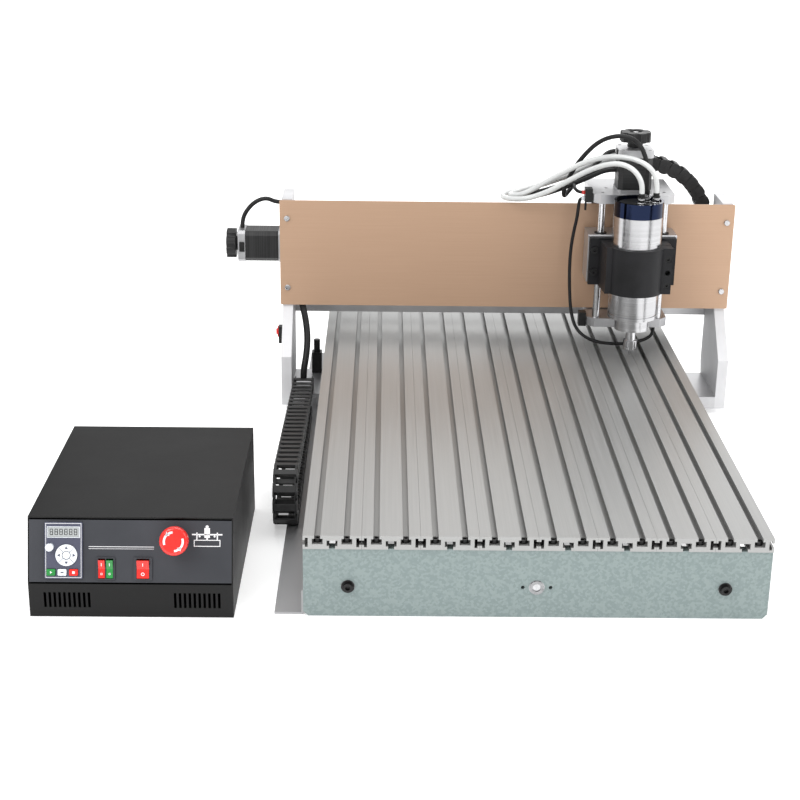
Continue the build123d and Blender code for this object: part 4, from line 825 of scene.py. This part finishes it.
front_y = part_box("front_plate")[0].y / MM
ROD_Z = 34
upright = Matrix.Rotation(math.pi / 2, 4, "X")
collar = add_ring((0, 0, 0), 4.2, 7.6, 1.2)
collar.matrix_world = Matrix.Translation(mm(0, front_y, ROD_Z)) @ upright
settle(collar, "screw_collar", carbide)
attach(collar, "base")
washers = []
for x in (-194, 194):
    washer = add_ring((0, 0, 0), 4.4, 7.1, 0.6)
    washer.matrix_world = Matrix.Translation(mm(x, front_y, ROD_Z)) @ upright
    washers.append(settle(washer))
washers = unite(washers, "front_washers", ground)
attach(washers, "base")
print("small parts of the head and the bed")

# %% [markdown]
# ## Marks on the control box
# The front of the box leans back a little, so every mark is modelled flat on a sheet and
# then laid on that leaning face by one matrix. Marks are thin raised prints, as screen ink is.

# %% The leaning face and its marks
BACK, UP = 0.29409, 0.95578
across, rise, outwards = (1, 0, 0), (0, BACK, UP), (0, -UP, BACK)
panel = Matrix((across, rise, outwards)).transposed().to_4x4()
panel = Matrix.Translation(mm(-415.5, -12, 38)) @ panel
INK = 0.15
PLATE, GLASS, FILM, KEY = -0.05, 1.55, 1.95, 3.35


def mark(u0, v0, u1, v1, level):
    """A thin printed rectangle between two corners of the sheet."""
    return add_block((u0, v0, level), (u1, v1, level + INK))


def spot(u, v, radius, level, sides=24, turn=0.0):
    """A thin printed disc or polygon."""
    return add_disc((u, v, level), radius, INK, sides, turn=(0, 0, turn))


def lay_marks(pieces, name, material, body):
    """Join the marks and lay them on the leaning face."""
    sheet = unite(pieces, name, material)
    sheet.matrix_world = panel
    settle(sheet)
    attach(sheet, body)


def frame_line(u0, v0, u1, v1, width, level):
    """Four thin bars round a rectangle."""
    return [
        mark(u0, v0, u1, v0 + width, level), mark(u0, v1 - width, u1, v1, level),
        mark(u0, v0 + width, u0 + width, v1 - width, level),
        mark(u1 - width, v0 + width, u1, v1 - width, level),
    ]


# %% The keypad's frame, display and legends
border = frame_line(-85.9, 5.9, -49.5, 61.7, 0.5, FILM)
lay_marks(border, "keypad_border", print_white, "base")
window = frame_line(-84.4, 46.9, -51.0, 58.3, 0.6, FILM)
lay_marks(window, "display_border", key_white, "base")
glass = add_block((-83.6, 47.6, 1.3), (-51.8, 57.6, GLASS))
lay_marks([glass], "display_glass", display, "base")
digits = []
for i in range(6):
    u, v = -81.4 + 4.9 * i, 49.6
    digits += [mark(u, v + step, u + 2.9, v + step + 0.6, GLASS) for step in (0, 2.8, 5.6)]
    for u_bar in (u - 0.2, u + 2.5):
        digits += [mark(u_bar, v + step, u_bar + 0.6, v + step + 2.4, 1.56) for step in (0.4, 3.2)]
lay_marks(digits, "display_digits", knob_black, "base")

# %% The round pad and the small keys
PAD_U, PAD_V = -64.6, 29.1
arrows = []
for i in range(4):
    angle = math.pi / 2 * i
    u, v = PAD_U + 7.4 * math.cos(angle), PAD_V + 7.4 * math.sin(angle)
    arrows.append(spot(u, v, 1.9, KEY, 3, angle - math.pi / 2))
    bar = add_block((4.6, -0.2, KEY), (10.6, 0.2, KEY + INK))
    turned = Matrix.Rotation(angle + math.pi / 4, 4, "Z")
    bar.matrix_world = Matrix.Translation(mm(PAD_U, PAD_V, 0)) @ turned
    arrows.append(settle(bar))
ring = add_ring((PAD_U, PAD_V, KEY), 4.0, 4.5, INK)
lay_marks(arrows + [ring], "pad_arrows", keypad_film, "arrow_pad_body")
legends = [
    ("start_legend", "start_key_body", [spot(-80.3, 11.5, 1.6, KEY, 3, -math.pi / 2)]),
    ("mode_legend", "mode_key_body", [mark(-70.4, 10.9, -67.4, 12.1, KEY)]),
    ("stop_legend", "stop_key_body", [mark(-58.6, 10.2, -56.0, 12.8, KEY)]),
]
for name, body, pieces in legends:
    ink = keypad_film if name == "mode_legend" else print_white
    lay_marks(pieces, name, ink, body)
print("keypad marks")

# %% The rockers' I and O
lean = Matrix.Rotation(math.radians(7), 4, "X")
rocker_kinds = [
    ("power_mark", "power_rocker_body", 12.9, 1.0),
    ("pump_mark", "pump_rocker_body", -29.1, 0.62),
    ("spindle_mark", "spindle_rocker_body", -20.9, 0.62),
]
for name, body, u, scale in rocker_kinds:
    low_mark = add_ring((0, -5, 2.45), 1.1 * scale, 1.8 * scale, INK * 3, 24)
    high_mark = add_block((-0.35, 3.2, 2.2), (0.35, 6.4, 2.9))
    both = unite([low_mark, high_mark], name, print_white)
    both.matrix_world = panel @ Matrix.Translation(mm(u, 15.3, -0.25)) @ lean
    settle(both)
    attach(both, body)

# %% The stop button's turning arrows
sweeps = []
for i in range(2):
    arc = add_block((8.4, -0.01, 21.9), (10.6, 0.01, 22.1))
    select_faces(arc, lambda middle, normal: normal.y < -0.9)
    bpy.ops.mesh.select_all(action="INVERT")
    bpy.ops.mesh.delete(type="FACE")
    bpy.ops.mesh.select_all(action="SELECT")
    bpy.ops.mesh.spin(steps=16, angle=math.radians(105), center=(0, 0, 0), axis=(0, 0, 1))
    bpy.ops.mesh.select_all(action="SELECT")
    bpy.ops.mesh.normals_make_consistent(inside=False)
    bpy.ops.object.mode_set(mode="OBJECT")
    tip = add_disc((0, 0, 0), 2.7, 0.2, 3)
    past_arc = Matrix.Rotation(math.radians(112), 4, "Z")
    tip.matrix_world = past_arc @ Matrix.Translation(mm(9.5, 0, 21.9))
    arrow = unite([arc, settle(tip)], "arrow")
    turned = Matrix.Rotation(math.radians(180 * i + 20), 4, "Z")
    arrow.matrix_world = Matrix.Translation(mm(46.5, 46.5, 0)) @ turned
    sweeps.append(settle(arrow))
lay_marks(sweeps, "stop_arrows", print_white, "estop_body")

# %% The machine's pictogram and the rule line
icon = frame_line(64.5, 38.5, 91.5, 45.5, 0.8, PLATE)
icon += [mark(67, 45.4, 68.2, 53, PLATE), mark(87.8, 45.4, 89, 53, PLATE)]
icon += [mark(62.5, 50.2, 93.5, 51.6, PLATE), mark(75.2, 47.6, 80.8, 57.6, PLATE)]
icon += [mark(77.2, 44.6, 78.8, 47.8, PLATE), spot(78, 58.8, 1.6, PLATE)]
icon += [spot(u, 49, 1.0, PLATE) for u in (70.4, 85.6)]
rule = [mark(-42.5, 37.4, 24, 38.0, PLATE), mark(-42.5, 35.4, 24, 35.8, PLATE)]
lay_marks(icon, "machine_pictogram", print_white, "base")
lay_marks(rule, "panel_rule", print_white, "base")
print("panel marks ready")

# %% [markdown]
# ## Floor, backdrop and light
# A white, glowing floor and large soft lamps make a plain studio. Dark cards stand out of the
# camera's sight, so that the steel has something dark to reflect and reads as steel.

# %% Stage and lights
bpy.ops.object.select_all(action="DESELECT")
bpy.ops.mesh.primitive_plane_add(size=60, location=(0, 0.4, -0.0005))
floor = bpy.context.active_object
floor.name = "floor"
paper = bpy.data.materials.new("white paper")
paper.use_nodes = True
sheet = sockets_of(paper)
sheet["Base Color"].default_value = (0.93, 0.93, 0.93, 1)
sheet["Roughness"].default_value = 0.9
sheet["Emission Color"].default_value = (1, 1, 1, 1)
sheet["Emission Strength"].default_value = 0.34
floor.data.materials.append(paper)

world = bpy.data.worlds.new("studio")
world.use_nodes = True
sky = world.node_tree.nodes["Background"].inputs
sky["Color"].default_value = (1, 1, 1, 1)
sky["Strength"].default_value = 0.75
bpy.context.scene.world = world
bpy.context.scene.view_settings.view_transform = "Standard"


def soft_lamp(name, place, target, size, power):
    """A square soft lamp that faces a target point."""
    data = bpy.data.lights.new(name, "AREA")
    data.shape = "SQUARE"
    data.size = size
    data.energy = power
    lamp = bpy.data.objects.new(name, data)
    bpy.context.collection.objects.link(lamp)
    lamp.location = place
    lamp.rotation_euler = (Vector(target) - Vector(place)).to_track_quat("-Z", "Y").to_euler()


soft_lamp("key", (-1.6, -1.6, 2.4), (0, 0.3, 0.1), 1.6, 55)
soft_lamp("fill", (2.2, -0.8, 1.6), (0.1, 0.4, 0.1), 1.8, 28)
soft_lamp("top", (0.2, 1.0, 2.8), (0, 0.4, 0), 2.2, 40)
soft_lamp("back", (0.5, 3.0, 1.0), (0.0, 0.5, 0.1), 1.6, 8)
print("floor, sky and four lamps")

# %% Dark cards
ink = bpy.data.materials.new("dark card")
ink.use_nodes = True
sockets_of(ink)["Base Color"].default_value = (0.02, 0.02, 0.02, 1)
for name, place, size, turn in (
    ("card_left", (-1.3, -0.9, 0.5), (0.5, 1.6), (90, 0, 60)),
    ("card_right", (1.5, -0.3, 0.5), (0.5, 1.6), (90, 0, -70)),
    ("card_near_left", (-0.62, 0.30, 0.12), (0.22, 0.30), (90, 0, 80)),
    ("card_near_right", (0.56, 0.22, 0.12), (0.16, 0.30), (90, 0, -70)),
):
    bpy.ops.object.select_all(action="DESELECT")
    bpy.ops.mesh.primitive_plane_add(size=1, location=place)
    card = bpy.context.active_object
    card.name = name
    card.scale = (*size, 1)
    card.rotation_euler = [math.radians(a) for a in turn]
    card.data.materials.append(ink)
    card.visible_camera = False
    card.visible_shadow = False
    card.visible_diffuse = False
